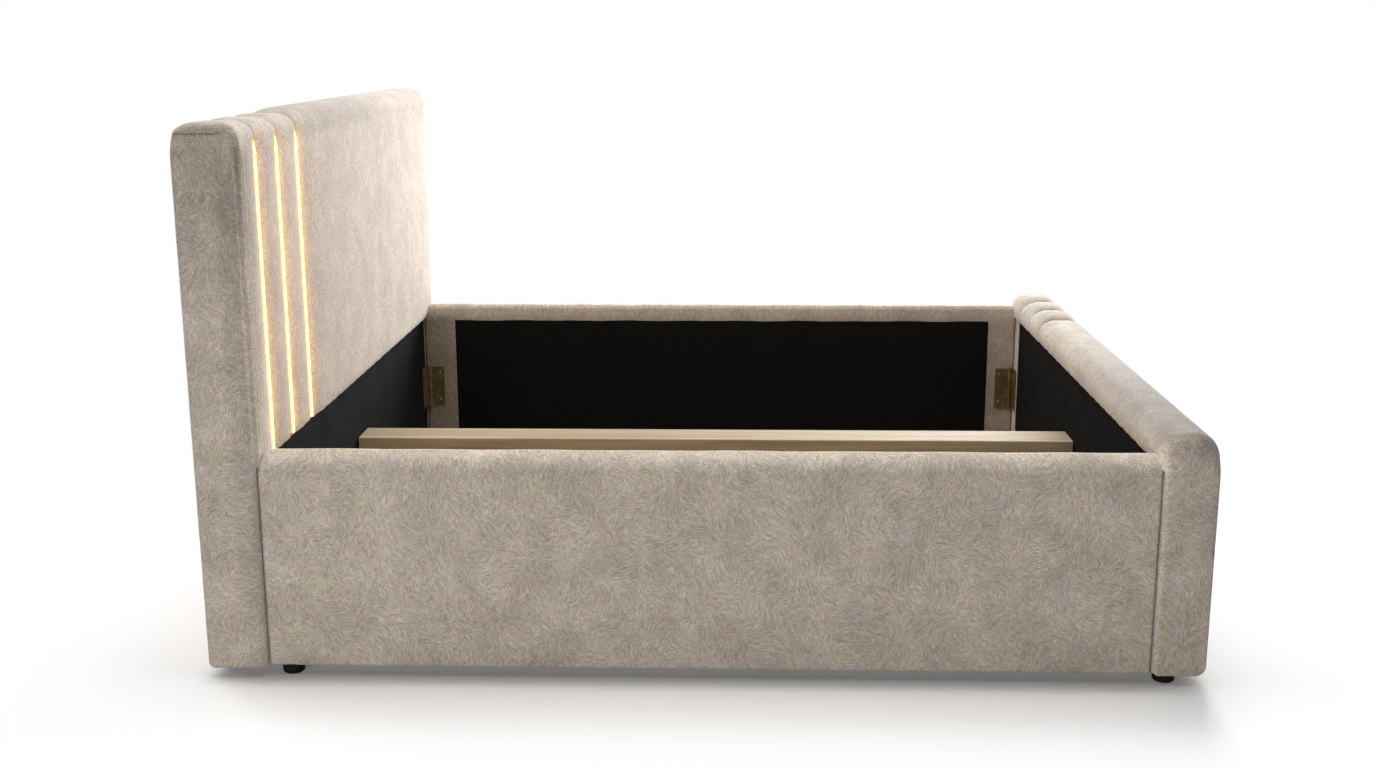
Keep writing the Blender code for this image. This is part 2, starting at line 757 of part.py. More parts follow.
def make_feet():
    """Four round feet: two under the rails' head ends and two under the footboard."""
    rail_middle = (rail_inner + rail_outer) / 2
    profile = [(foot_radius - foot_chamfer, 0), (foot_radius, foot_chamfer),
               (foot_radius, bottom_height - gap)]
    for x, where in ((head_plane + foot_from_head, "head"), (foot_plane + foot_from_foot, "foot")):
        for side, hand in ((-1, "left"), (1, "right")):
            rings = [[(a, b, level) for a, b in circle((x, side * rail_middle), radius, round_steps)]
                     for radius, level in profile]
            loft(f"foot_{where}_{hand}", rings, "plastic", smooth_angle=math.radians(30))


def make_storage_floor():
    """A ledge along each rail, a board along the middle, and the two panels that lie on them."""
    low_x = head_plane + floor_clearance
    high_x = foot_plane - floor_clearance
    batten_half = batten_width / 2
    batten = block("floor_centre_board", (low_x, -batten_half, bottom_height),
                   (high_x, batten_half, floor_level), "pine")
    hole_radius = leg_radius + leg_clearance
    combine(batten, rod("cutter", leg_x, 0, 0, base_height, hole_radius, "steel"), "DIFFERENCE")
    for side, hand in ((-1, "left"), (1, "right")):
        wall = side * (rail_inner - gap)
        y_low, y_high = sorted((wall, wall - side * ledge_depth))
        block(f"floor_ledge_{hand}", (low_x, y_low, bottom_height), (high_x, y_high, floor_level), "pine")
        y_low, y_high = sorted((wall, side * floor_clearance))
        panel = block(f"floor_panel_{hand}", (low_x, y_low, floor_level + gap),
                      (high_x, y_high, floor_level + gap + floor_thickness), "board")
        combine(panel, rod("cutter", leg_x, 0, 0, base_height, hole_radius, "steel"), "DIFFERENCE")


def main():
    """Build the whole bed."""
    clear_scene()
    make_headboard_frame()
    make_headboard_cover()
    make_headboard_pads()
    make_headboard_lining()
    make_light_strips()
    make_light_supply()
    make_footboard_frame()
    make_footboard_covers()
    make_footboard_pads()
    for side, hand in ((-1, "left"), (1, "right")):
        make_rail(side, hand)
        make_connector(1, side, f"head_{hand}")
        make_connector(-1, side, f"foot_{hand}")
    make_beam()
    make_feet()
    make_storage_floor()


main()
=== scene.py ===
"""Looks for an upholstered storage bed: padded cloth, light strips, timber and fittings.

Metres, +Z up, +X from the headboard to the footboard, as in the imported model. Left is -Y.
"""
import math

import bmesh
import bpy
import numpy as np
from mathutils import Matrix, Vector


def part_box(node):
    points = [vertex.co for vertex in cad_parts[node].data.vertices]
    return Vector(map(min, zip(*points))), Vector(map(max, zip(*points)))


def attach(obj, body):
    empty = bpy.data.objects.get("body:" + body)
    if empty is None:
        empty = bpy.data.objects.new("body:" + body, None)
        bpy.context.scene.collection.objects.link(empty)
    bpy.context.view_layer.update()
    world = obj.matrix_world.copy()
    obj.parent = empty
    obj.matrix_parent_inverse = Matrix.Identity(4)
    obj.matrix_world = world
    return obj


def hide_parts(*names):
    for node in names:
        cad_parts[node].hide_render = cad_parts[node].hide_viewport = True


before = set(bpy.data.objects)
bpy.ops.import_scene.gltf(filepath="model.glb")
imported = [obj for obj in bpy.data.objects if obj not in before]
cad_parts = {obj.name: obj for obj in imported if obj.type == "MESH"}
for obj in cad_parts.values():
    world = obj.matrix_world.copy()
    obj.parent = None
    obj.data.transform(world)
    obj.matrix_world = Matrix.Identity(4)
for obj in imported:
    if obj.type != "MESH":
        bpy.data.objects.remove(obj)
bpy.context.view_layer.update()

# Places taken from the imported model
cover_low, cover_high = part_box("headboard_cover")
head_pad_low, head_pad_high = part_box("headboard_main_pad")
foot_pad_low, foot_pad_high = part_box("footboard_main_pad")
rail_low, rail_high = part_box("rail_cover_right")
lining_low, lining_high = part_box("rail_lining_right")
head_lining_low, head_lining_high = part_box("headboard_lining")
foot_lining_low, foot_lining_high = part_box("footboard_lining")
end_low, end_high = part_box("footboard_end_cover_right")
beam_low, beam_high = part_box("centre_beam")

# Headboard: half width, the core that its pads wrap, corners and roundings, how low it hangs
head_half = cover_high.y
head_core = cover_high.x - 0.002
head_back = cover_low.x - 0.0035
head_core_top = 1.24
head_corner = 0.05
head_core_corner = 0.01
head_back_reach = 0.055
head_back_lean = 0.009
head_plan_round = 0.016
head_front_round = 0.020
head_sag = 0.007

# Footboard: half width, the core that its pads wrap, corners, end rims, how low it hangs
foot_half = end_high.y
foot_core_inner = foot_lining_high.x
foot_core_outer = end_high.x
foot_core_top = 0.554
foot_corner = 0.05
foot_core_corner = 0.008
foot_low_corner = 0.024
foot_fuller = 0.004
foot_hem_rise = 0.006
roll_shift = 0.035
end_rim_top = 0.036
end_rim_side = 0.008
foot_sag = 0.004

# Rails: the edge and corner radii of their section, and where their tops and hems lie
rail_edge = 0.009
rail_outer_round = 0.036
rail_inner_round = 0.015
rail_head_corner = 0.032
rail_foot_corner = 0.016
rail_low_corner = 0.01
right_rail_rise = 0.009
left_rail_drop = 0.0035
rail_sag = 0.003

# Pads: their hems, how full they are, and how far in from a groove or an end they fill out
hem_lip = 0.0045
hem_wander = 0.002
hem_rise = 0.03
slack_depth = 0.0008
roll_share = 0.79
foot_roll_share = 1.16
groove_share = 0.34
front_groove_share = 0.22
groove_reach = 0.078
wide_groove_reach = 0.13
end_reach = 0.03
end_share = 0.15

# Waves, each as lengths and their shares: seams, slack cloth, hems, corners, rails and linings
pucker = ((0.0171, 0.45), (0.0287, 0.35), (0.0113, 0.2))
slack = ((0.127, 0.4), (0.211, 0.35), (0.083, 0.25))
hem_waves = ((0.063, 0.4), (0.107, 0.35), (0.037, 0.25))
corner_folds = ((0.0068, 0.6), (0.0101, 0.4))
# Lengths of the lines of painted shade in the corner folds and along the first roll's ribs
painted_corner_lines = ((0.0068, 0.65), (0.0105, 0.35))
painted_rib_lines = ((0.0195, 0.65), (0.0131, 0.35))
rail_face_waves = ((0.16, 0.6), (0.31, 0.4))
rail_top_waves = ((0.23, 0.6), (0.41, 0.4))
lining_hem_waves = ((0.19, 0.5), (0.31, 0.3), (0.07, 0.2))
lining_hollows = ((0.37, 0.4), (0.23, 0.35), (0.51, 0.25))

# Thin cloth, the gap under the leaves, and the step of the finer grids
cover_wall = 0.003
flap_wall = 0.0018
skin_gap = 0.0003
grid_step = 0.008

# Linings: the tops of their hems, the foot of the rails' ones, their thickness and their grid
head_lining_top = 0.508
foot_lining_top = 0.511
rail_lining_foot = 0.052
rail_lining_wall = 0.001
board_lining_wall = 0.0008
lining_step = 0.012

# Light strips
led_forward = 0.0010
led_radius = 0.0039
led_lean = 0.012
led_lean_reach = 0.06
led_rise = 0.021
led_strength = 4.9
strip_spill = 0.18
led_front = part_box("led_diffuser_1")[1].x + led_forward

# Screws and stitches
screw_radius = 0.0042
screw_rise = 0.022
screw_edge = 0.014
leaf_wall = 0.0025
stitch_pitch = 0.0082
stitch_half = 0.0031
stitch_thick = 0.0007

# How the cloth's strokes turn
nap_lean = 1.15

# Floor: its tones, the ring of painted shadow round the bed, and its fades as from, to, least and
# most
floor_to_room = 0.80
floor_to_camera = 1.31
ring_half_length = 1.08
ring_half_width = 0.955
ring_middle = 0.012
ring_reach = 0.075
painted_shadow_tones = (0.97, 1.12, 0.47, 0.72)
fade_away = (1.15, 1.85, 0.09, 1.0)
fade_past_foot = (0.98, 1.30, 0.0, 0.45)
fade_in_front = (1.10, 1.42, 0.0, 0.85)
room_level = 0.06

# Camera, solved from the straight edges of the bed
camera_place = (0.0845, -4.2359, 1.4394)
camera_yaw = 0.0349
camera_pitch = 0.2236
camera_roll = -0.0036
camera_lens = 40.085


class Link:
    """An output of a node. Sums, differences, products and powers on it add Math nodes.

    Each has its reflected form, so that a number may stand first, as in 1 - mask.
    """

    def __init__(self, finish, socket):
        self.finish = finish
        self.socket = socket

    def output(self, key):
        """Another output of the same node, by its number or name."""
        return Link(self.finish, self.socket.node.outputs[key])

    def math(self, operation, first, second):
        return self.finish.node("ShaderNodeMath", {"operation": operation}, {0: first, 1: second})

    def larger(self, other):
        """The larger of this value and another."""
        return self.math("MAXIMUM", self, other)

    def __abs__(self):
        return self.math("ABSOLUTE", self, 0.0)

    def __add__(self, other):
        return self.math("ADD", self, other)

    def __sub__(self, other):
        return self.math("SUBTRACT", self, other)

    def __rsub__(self, other):
        return self.math("SUBTRACT", other, self)

    def __mul__(self, other):
        return self.math("MULTIPLY", self, other)

    def __pow__(self, other):
        return self.math("POWER", self, other)

    def __rpow__(self, other):
        return self.math("POWER", other, self)

    __radd__ = __add__
    __rmul__ = __mul__


class Finish:
    """A material under construction, with its Principled shader."""

    def __init__(self, name, **constants):
        self.material = bpy.data.materials.new(name)
        self.material.use_nodes = True
        self.tree = self.material.node_tree
        self.shader = self.tree.nodes["Principled BSDF"]
        self.set(**constants)

    def set(self, **values):
        """Set the shader's sockets, named with underscores for spaces."""
        for name, value in values.items():
            label = name.replace("_", " ").title().replace("Ior", "IOR")
            self.put(self.shader.inputs[label], value)

    def put(self, socket, value):
        """Link an output to a socket, or write a plain value there."""
        if isinstance(value, Link):
            self.tree.links.new(value.socket, socket)
        else:
            socket.default_value = value

    def node(self, kind, settings=None, values=None, output=0):
        """Add a node: its settings first, a ramp's stops among them, then its sockets."""
        made = self.tree.nodes.new(kind)
        for key, value in (settings or {}).items():
            if key == "stops":
                ramp = made.color_ramp.elements
                while len(ramp) < len(value):
                    ramp.new(0.5)
                for element, (place, colour) in zip(ramp, value):
                    element.position = place
                    element.color = colour
            else:
                setattr(made, key, value)
        for key, value in (values or {}).items():
            self.put(made.inputs[key], value)
        return Link(self, made.outputs[output])

    def object_place(self):
        """The place on the object, in metres."""
        return self.node("ShaderNodeTexCoord", output=3)

    def cloth_place(self):
        """The place on the cloth as it was cut, in metres."""
        return self.node("ShaderNodeUVMap", {"uv_map": "cloth"})

    def scaled(self, place, scale):
        """A place stretched by a scale for each direction."""
        return self.node("ShaderNodeVectorMath", {"operation": "MULTIPLY"}, {0: place, 1: scale})

    def noise(self, place, scale, detail=2.0, roughness=0.5, flat=False, colour=False):
        """Noise read at a place, flat on cloth, as a value or as a colour."""
        settings = {"noise_dimensions": "2D" if flat else "3D"}
        values = {"Vector": place, "Scale": scale, "Detail": detail, "Roughness": roughness}
        return self.node("ShaderNodeTexNoise", settings, values, output=1 if colour else 0)

    def spread(self, value, low, high, to_low=0.0, to_high=1.0):
        """Carry a value from one range to another with soft ends."""
        return self.node("ShaderNodeMapRange", {"interpolation_type": "SMOOTHSTEP"},
                         {0: value, 1: low, 2: high, 3: to_low, 4: to_high})

    def blend(self, share, first, second, how="MIX"):
        """Mix two colours."""
        return self.node("ShaderNodeMix", {"data_type": "RGBA", "blend_type": how},
                         {0: share, 6: first, 7: second}, output=2)

    def grey(self, value):
        """The grey colour of a value."""
        return self.node("ShaderNodeCombineXYZ", {}, {0: value, 1: value, 2: value})

    def painted_shading(self):
        """Painted light and shade at a place, as a factor on the colour: 1 plus what is written on
        the piece.
        """
        return self.node("ShaderNodeAttribute", {"attribute_name": "brushed"}, output=2) + 1.0

    def relief(self, height, distance, strength=1.0):
        """Feed a height in shares of the distance to the shader's normal."""
        self.set(normal=self.node("ShaderNodeBump", {}, {"Height": height, "Distance": distance,
                                                         "Strength": strength}))


def nap_strokes(finish, place, patch, length, width, bend, offset):
    """Short curved strokes of nap that follow a slowly turning direction.

    The cloth is split into cells of the patch size. In each, the place is taken from the cell's
    middle, turned by an angle that a broad noise gives at that middle and bent by a square law,
    then a noise stretched to the stroke's length and width is read there.
    """
    cell = {"voronoi_dimensions": "2D"}
    reads = {"Vector": place, "Scale": 1 / patch}
    middle = finish.node("ShaderNodeTexVoronoi", cell, reads, output=2)
    chance = finish.node("ShaderNodeSeparateColor", {}, {0: middle.output(1)})
    other = chance.output(1)
    sweep = finish.noise(middle, 6.5, 1.0, 0.5, flat=True)
    local = finish.node("ShaderNodeVectorMath", {"operation": "SUBTRACT"}, {0: place, 1: middle})
    angle = (sweep - 0.5) * 6.5 + (chance - 0.5) * 0.8 + nap_lean
    turned = finish.node("ShaderNodeVectorRotate", {"rotation_type": "Z_AXIS"},
                         {"Vector": local, "Angle": angle})
    split = finish.node("ShaderNodeSeparateXYZ", {}, {0: turned})
    across = split.output(1)
    bent = across + split * split * ((other - 0.5) * bend)
    level = chance * 37.0 + offset
    stroke = finish.node("ShaderNodeCombineXYZ", {},
                         {0: split * (1 / length), 1: bent * (1 / width), 2: level})
    return finish.noise(stroke, 1.0, 1.0, 0.45)


def chenille():
    """Mottled greige cloth: feather-like strokes of nap over a weave, several hues, fine pile."""
    finish = Finish("greige_chenille", roughness=0.88, sheen_weight=0.45, sheen_roughness=0.4,
                    specular_ior_level=0.2)
    place = finish.cloth_place()
    wander = finish.noise(place, 60.0, 1.0, 0.5, flat=True, colour=True)
    shift = finish.node("ShaderNodeVectorMath", {"operation": "MULTIPLY_ADD"},
                        {0: wander, 1: (0.012, 0.012, 0.0), 2: (-0.006, -0.006, 0.0)})
    bent = finish.node("ShaderNodeVectorMath", {"operation": "ADD"}, {0: place, 1: shift})
    broad = nap_strokes(finish, bent, 0.040, 0.023, 0.0026, 20.0, 0.0)
    small = nap_strokes(finish, bent, 0.027, 0.015, 0.0020, 26.0, 11.0)
    strokes = finish.spread(broad * 0.55 + small * 0.45, 0.34, 0.66)
    cloud = finish.noise(place, 9.0, 4.0, 0.62, flat=True)
    pile = finish.noise(place, 620.0, 2.0, 0.6, flat=True)
    warp = finish.noise(finish.scaled(place, (420.0, 75.0, 1.0)), 1.0, 2.0, 0.55, flat=True)
    weft = finish.noise(finish.scaled(place, (75.0, 420.0, 1.0)), 1.0, 2.0, 0.55, flat=True)
    tone = finish.blend(strokes, (0.408, 0.351, 0.287, 1.0), (0.634, 0.563, 0.483, 1.0))
    hue = finish.noise(place, 25.0, 3.0, 0.55, flat=True)
    tints = [(0.34, (0.972, 1.0, 0.925, 1.0)), (0.46, (1.0, 1.0, 0.99, 1.0)),
             (0.56, (1.038, 0.972, 0.982, 1.0)), (0.68, (0.975, 0.985, 1.05, 1.0))]
    hue_tint = finish.node("ShaderNodeValToRGB", {"stops": tints}, {0: hue})
    tone = finish.blend(1.0, tone, hue_tint, "MULTIPLY")
    # Painted light and shade written on each piece, as a factor on the tone
    painted_shading = finish.painted_shading()
    light = finish.spread(cloud, 0.3, 0.7, 0.90, 1.09)
    light = light * finish.spread(warp * 0.5 + weft * 0.5, 0.32, 0.68, 0.87, 1.13)
    light = light * finish.spread(pile, 0.3, 0.7, 0.94, 1.06) * painted_shading
    tone = finish.blend(1.0, tone, finish.grey(light), "MULTIPLY")
    finish.set(base_color=tone, roughness=finish.spread(strokes, 0.0, 1.0, 0.95, 0.80))
    finish.relief(strokes * 0.45 + pile * 0.4 + cloud * 0.3 + (warp + weft) * 0.25, 0.0009, 0.6)
    return finish.material


def lining_cloth():
    """Matt black bonded cloth with a fine dull fleck."""
    finish = Finish("black_lining", specular_ior_level=0.06)
    place = finish.cloth_place()
    fleck = finish.noise(place, 420.0, 3.0, 0.65, flat=True)
    haze = finish.noise(place, 9.0, 3.0, 0.6, flat=True)
    tone = finish.blend(finish.spread(fleck, 0.34, 0.66), (0.0030, 0.0034, 0.0034, 1.0),
                        (0.0116, 0.0126, 0.0123, 1.0))
    finish.set(base_color=tone, roughness=finish.spread(haze, 0.3, 0.7, 0.85, 0.97))
    finish.relief(fleck, 0.0004, 0.5)
    return finish.material


def timber(name, light, dark, ring_scale, along=(1.0, 9.0, 9.0)):
    """Sawn timber: wandering rings drawn out along the board, fine pores and darker streaks."""
    finish = Finish(name, specular_ior_level=0.3)
    place = finish.scaled(finish.object_place(), along)
    sway = finish.noise(place, 1.6, 3.0, 0.55)
    rings = finish.noise(finish.scaled(place, (0.35, 1.0, 1.0)), ring_scale, 4.0, 0.6)
    pores = finish.noise(finish.scaled(place, (0.6, 14.0, 14.0)), 9.0, 2.0, 0.6)
    grain = finish.spread(rings * 0.6 + sway * 0.25 + pores * 0.15, 0.36, 0.64)
    # Painted light and shade written on the piece, as a factor on the colour
    paler = finish.grey(finish.painted_shading())
    finish.set(base_color=finish.blend(1.0, finish.blend(grain, light, dark), paler, "MULTIPLY"),
               roughness=finish.spread(pores, 0.3, 0.7, 0.55, 0.75))
    finish.relief(pores * 0.6 + rings * 0.4, 0.0006, 0.5)
    return finish.material


def metal(name, deep, bright, metallic, rough, grain_scale):
    """Cast or plated metal: cloudy colour, brighter specks of wear and a fine skin."""
    finish = Finish(name, metallic=metallic)
    place = finish.object_place()
    cloud = finish.noise(place, grain_scale, 4.0, 0.6)
    speck = finish.noise(place, grain_scale * 9.0, 2.0, 0.7)
    worn = finish.spread(cloud * 0.7 + speck * 0.3, 0.42, 0.68)
    finish.set(base_color=finish.blend(worn, deep, bright),
               roughness=finish.spread(speck, 0.3, 0.7, rough - 0.08, rough + 0.12))
    finish.relief(speck * 0.6 + cloud * 0.4, 0.0002, 0.4)
    return finish.material


def moulded_plastic():
    """Black plastic with the fine stipple of its mould."""
    finish = Finish("black_plastic", specular_ior_level=0.12)
    place = finish.object_place()
    stipple = finish.noise(place, 1400.0, 2.0, 0.6)
    scuff = finish.noise(place, 60.0, 4.0, 0.65)
    finish.set(base_color=finish.blend(finish.spread(scuff, 0.45, 0.75), (0.002, 0.002, 0.002, 1.0),
                                       (0.009, 0.0085, 0.008, 1.0)),
               roughness=finish.spread(scuff, 0.3, 0.7, 0.42, 0.62))
    finish.relief(stipple, 0.0002, 0.5)
    return finish.material


def glowing_diffuser():
    """Warm light through milky plastic: paler along the crown, a deeper yellow down both sides."""
    finish = Finish("warm_diffuser", base_color=(0.30, 0.24, 0.17, 1.0), roughness=0.6,
                    emission_strength=led_strength)
    place = finish.object_place()
    lamps = finish.noise(finish.scaled(place, (1.0, 1.0, 60.0)), 1.0, 1.0, 0.5)
    forward = finish.node("ShaderNodeSeparateXYZ", {}, {0: place})
    crown = finish.spread(forward, led_front - 1.3 * led_radius, led_front)
    side = finish.blend(lamps, (1.0, 0.49, 0.080, 1.0), (1.0, 0.53, 0.090, 1.0))
    finish.set(emission_color=finish.blend(crown, side, (1.0, 0.55, 0.145, 1.0)))
    return finish.material


def sewing_thread():
    """Dull brown thread, twisted."""
    finish = Finish("brown_thread", specular_ior_level=0.2)
    twist = finish.noise(finish.scaled(finish.object_place(), (900.0, 900.0, 1500.0)), 1.0, 1.0)
    tone = finish.blend(twist, (0.020, 0.016, 0.012, 1.0), (0.075, 0.060, 0.045, 1.0))
    finish.set(base_color=tone, roughness=finish.spread(twist, 0.0, 1.0, 0.8, 0.95))
    finish.relief(twist, 0.0003, 0.5)
    return finish.material


def pale_floor():
    """Plain white floor with the faintest unevenness, and a painted shadow close round the bed's
    outline.

    The ring round the bed is deepest a little outside its edges and deeper along its sides than
    at its ends. To the camera and in reflections the floor is whiter, with its shadows lifted a
    little, and away from the bed it fades to plain white: the share is a soft step over
    sqrt(x^2 + (0.45 y)^2) + max(y, 0), in metres. Past the footboard's end and in front of the
    near rail two more soft steps, over x and over -y, fade it sooner.
    """
    finish = Finish("pale_floor")
    place = finish.object_place()
    mottle = finish.noise(place, 0.8, 2.0, 0.5)
    path = finish.node("ShaderNodeLightPath")
    seen = path.larger(path.output("Is Glossy Ray")).larger(path.output("Is Transmission Ray"))
    x = finish.node("ShaderNodeSeparateXYZ", {}, {0: place})
    y = x.output(1)
    # Painted shadow: the floor's colour darkens in a ring just outside the bed's outline
    outside = (abs(x) - ring_half_length).larger(abs(y) - ring_half_width)
    deepest = finish.spread(abs(x), *painted_shadow_tones)
    painted_contact_shadow = finish.spread(abs(outside - ring_middle), 0.0, ring_reach, deepest, 1.0)
    tone = seen * (floor_to_camera - floor_to_room) + floor_to_room + (mottle - 0.5) * 0.01
    matt = finish.node("ShaderNodeBsdfDiffuse", {}, {0: finish.grey(tone * painted_contact_shadow)})
    white = finish.node("ShaderNodeEmission", {}, {"Strength": 1.0})
    away = (x * x + y * y * 0.2) ** 0.5 + y.larger(0.0)
    fade = finish.spread(away, *fade_away) * seen
    fade = fade.larger(finish.spread(x, *fade_past_foot) * seen)
    fade = fade.larger(finish.spread(y * -1.0, *fade_in_front) * seen)
    floor = finish.node("ShaderNodeMixShader", {}, {0: fade, 1: matt, 2: white})
    finish.tree.links.new(floor.socket, finish.tree.nodes["Material Output"].inputs["Surface"])
    finish.tree.nodes.remove(finish.shader)
    return finish.material


def lengths(points, axis):
    """Distance walked along one direction of a grid of points, on its middle line."""
    steps = np.linalg.norm(np.diff(points, axis=axis), axis=2)
    walked = np.median(steps, axis=1 - axis)
    return np.concatenate([[0.0], np.cumsum(walked)])


def laid_pattern(points):
    """Cloth coordinates in metres for a grid: rows run down it, columns run across it."""
    down, over = np.meshgrid(lengths(points, 0), lengths(points, 1), indexing="ij")
    return np.stack([over, down], axis=2)


def skin(name, patches, lids=(), material=None, sharp=50.0, thickness=None):
    """One closed mesh from grid patches and flat lids whose edges coincide.

    A patch is points (rows, columns, 3), or those and their cloth coordinates. A lid is the points
    of one flat outline and the two directions that its cloth coordinates are read along.
    """
    vertices, faces, marks = [], [], []
    count = 0
    for patch in patches:
        points, pattern = patch if isinstance(patch, tuple) else (patch, laid_pattern(patch))
        rows, columns = points.shape[:2]
        ids = np.arange(rows * columns).reshape(rows, columns)
        quads = np.stack([ids[:-1, :-1], ids[1:, :-1], ids[1:, 1:], ids[:-1, 1:]], axis=2)
        quads = quads.reshape(-1, 4)
        vertices.append(points.reshape(-1, 3))
        faces += (quads + count).tolist()
        marks.append(pattern.reshape(-1, 2)[quads.reshape(-1)])
        count += rows * columns
    for outline, directions in lids:
        vertices.append(outline)
        faces.append((np.arange(len(outline)) + count).tolist())
        marks.append(outline[:, directions])
        count += len(outline)
    mesh = bpy.data.meshes.new(name)
    mesh.from_pydata(np.concatenate(vertices).tolist(), [], faces)
    cloth = mesh.uv_layers.new(name="cloth")
    cloth.data.foreach_set("uv", np.concatenate(marks).astype(np.float32).reshape(-1))
    work = bmesh.new()
    work.from_mesh(mesh)
    bmesh.ops.remove_doubles(work, verts=work.verts, dist=2e-5)
    bmesh.ops.dissolve_degenerate(work, dist=1e-6, edges=work.edges)
    bmesh.ops.recalc_face_normals(work, faces=work.faces)
    work.to_mesh(mesh)
    work.free()
    mesh.shade_smooth()
    mesh.set_sharp_from_angle(angle=math.radians(sharp))
    piece = bpy.data.objects.new(name, mesh)
    bpy.context.scene.collection.objects.link(piece)
    if thickness:
        wall = piece.modifiers.new("wall", "SOLIDIFY")
        wall.thickness = thickness
        wall.offset = -1.0
    if material:
        mesh.materials.append(material)
    return piece


def seated(piece, nodes=(), body="bed_frame"):
    """Give a piece its body, and hide the nodes it stands for."""
    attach(piece, body)
    if nodes:
        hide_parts(*nodes)
    return piece


def brushed(piece, amount):
    """Write painted light and shade on a piece, from a function of x, y, z: paler above 0, darker
    below.
    """
    place = np.empty(len(piece.data.vertices) * 3, np.float32)
    piece.data.vertices.foreach_get("co", place)
    painted_shading = piece.data.attributes.new("brushed", "FLOAT", "POINT")
    painted_shading.data.foreach_set("value", amount(*place.reshape(-1, 3).T).astype(np.float32))


def smooth(value, low, high):
    """Rise from 0 at low to 1 at high along t * t * (3 - 2 t)."""
    share = np.clip((value - low) / (high - low), 0, 1)
    return share * share * (3 - 2 * share)


def headboard_painted_shading(x, y, z):
    """Painted shade up the ends and along the top near the rolls, painted light across the front to
    the right.

    Each band is a product of soft steps over x, y and z, and the bands are added. Round the
    upright corners the painted shading runs dark, then pale, with fine dark lines of painted shade
    in the folds: u is the way walked round the corner, x + half the width - abs(y). The first roll
    is paler low down beside its strip, darkens upwards and has upright lines of painted shade for
    ribs on its outer half. The right end is painted darker throughout.
    """
    outward = np.abs(y)
    on_end = smooth(outward, head_half - 0.03, head_half - 0.005)
    end = on_end * (0.08 * smooth(z, 0.4, 0.6) - 0.20 * smooth(z, 0.85, 1.15))
    end = end - 0.16 * smooth(y, 0.955, 0.975)
    front = 0.14 * smooth(y, -0.3, 0.8) * smooth(z, 0.4, 0.8)
    front = front * smooth(x, -1.05, -1.0) * smooth(-z, -1.27, -1.1)
    top = -0.30 * smooth(z, 1.19, 1.24) * smooth(y, -0.7, -0.3) * smooth(-y, -0.5, 0.0)
    rolls = -0.10 * smooth(-y, 0.05, 0.4) - 0.05 * smooth(-y, 0.66, 0.70)
    rolls = rolls - 0.06 * smooth(-y, 0.82, 0.86)
    rolls = rolls * smooth(x, -1.01, -0.995) * smooth(-z, -1.24, -1.2)

    u = x + head_half - outward
    turning = smooth(outward, head_half - 0.06, head_half - 0.03)
    dark = -0.21 * smooth(u, -1.060, -1.028) * smooth(-u, 0.996, 1.006)
    pale = 0.42 * smooth(u, -1.012, -0.980) * smooth(-u, 0.956, 0.966)
    pale = pale * (1 - 0.35 * smooth(z, 1.0, 1.12))
    lines = waver(u, painted_corner_lines, 1.0)
    lines = np.clip(lines * smooth(u, -1.010, -1.004) * smooth(-u, 0.955, 0.962), 0, 1)
    corner = (dark + pale) * (0.3 + 0.7 * smooth(z, 0.4, 0.6)) - 0.34 * lines * smooth(z, 0.2, 0.5)
    corner = corner * turning * smooth(-z, -1.22, -1.12)

    outer_half = smooth(-y, 0.900, 0.945) * smooth(y, -0.977, -0.960)
    ribs = np.clip(waver(y, painted_rib_lines, 0.4), 0, 1)
    ribs = ribs * smooth(-y, 0.895, 0.91) * smooth(y, -0.985, -0.965)
    beside_strip = smooth(y, -0.945, -0.900) * (0.20 - 0.31 * smooth(z, 0.7, 1.15))
    first = beside_strip + outer_half * (0.06 - 0.27 * smooth(z, 0.72, 1.2)) - 0.26 * ribs
    first = first * smooth(-y, 0.84, 0.86) * smooth(x, -1.004, -0.996) * smooth(-z, -1.22, -1.18)
    return end + front + top + rolls + corner + first


def footboard_painted_shading(x, y, z):
    """Painted shade over the top towards the left end, painted light where the inner side turns up
    to it.

    The right end is painted darker throughout, and the left end a little darker low down, also as
    painted shade.
    """
    crown = -0.10 - 0.32 * smooth(-y, -0.3, 0.85) - 0.06 * smooth(y, 0.4, 0.8)
    crown = crown * smooth(z, 0.50, 0.56)
    crown = crown * (1 - 0.6 * smooth(-y, 0.925, 0.955))
    inner = 0.36 * smooth(foot_pad_low.x + 0.03 - x, 0.0, 0.02) * smooth(-z, -0.58, -0.55)
    inner = inner - 0.05 * smooth(x, 1.05, 1.08) * smooth(-y, 0.95, 0.965)
    right_end = 0.32 * smooth(y, 0.935, 0.962)
    left_end = 0.08 * smooth(-y, foot_half - 0.03, foot_half - 0.005) * smooth(-z, -0.53, -0.45)
    return crown + inner - right_end - left_end


def rail_painted_shading(x, y, z):
    """Painted light over the drawn top edges, painted shade near the floor and all over the right
    rail.

    The crest of the left rail is painted darker again, and so are both ends where they meet the
    boards.
    """
    top = smooth(z, rail_high.z - 0.048, rail_high.z - 0.010)
    right = smooth(y, 0.0, 0.1)
    crest = smooth(z, rail_high.z - 0.006, rail_high.z - 0.0035) * (1 - right)
    head = 0.16 * smooth(-x, 0.86, 0.93) * (1 - top)
    ends = smooth(-x, -rail_low.x - 0.008, -rail_low.x - 0.002)
    ends = ends + smooth(x, rail_high.x - 0.008, rail_high.x - 0.002)
    pale = top * (0.42 - 0.12 * right) - 0.24 * crest + 0.06 * smooth(-x, 0.3, 0.8) * (1 - right)
    pale = pale - 0.18 * smooth(y, 0.935, 0.957)
    return pale - right * (0.2 + head) - 0.07 * smooth(-z, -0.2, -0.05) - 0.42 * ends


def beam_painted_shading(x, y, z):
    """The beam's left face is paler and its top a little darker, as painted light and shade."""
    return 0.5 * smooth(-y, 0.050, 0.055) - 0.1 * smooth(z, beam_high.z - 0.003, beam_high.z)


def between(start, end, count):
    """Points from start to end in count equal steps, start left out."""
    start, end = np.asarray(start), np.asarray(end)
    share = np.arange(1, count + 1)[:, None] / count
    return start[..., None, :] + share * (end - start)[..., None, :]


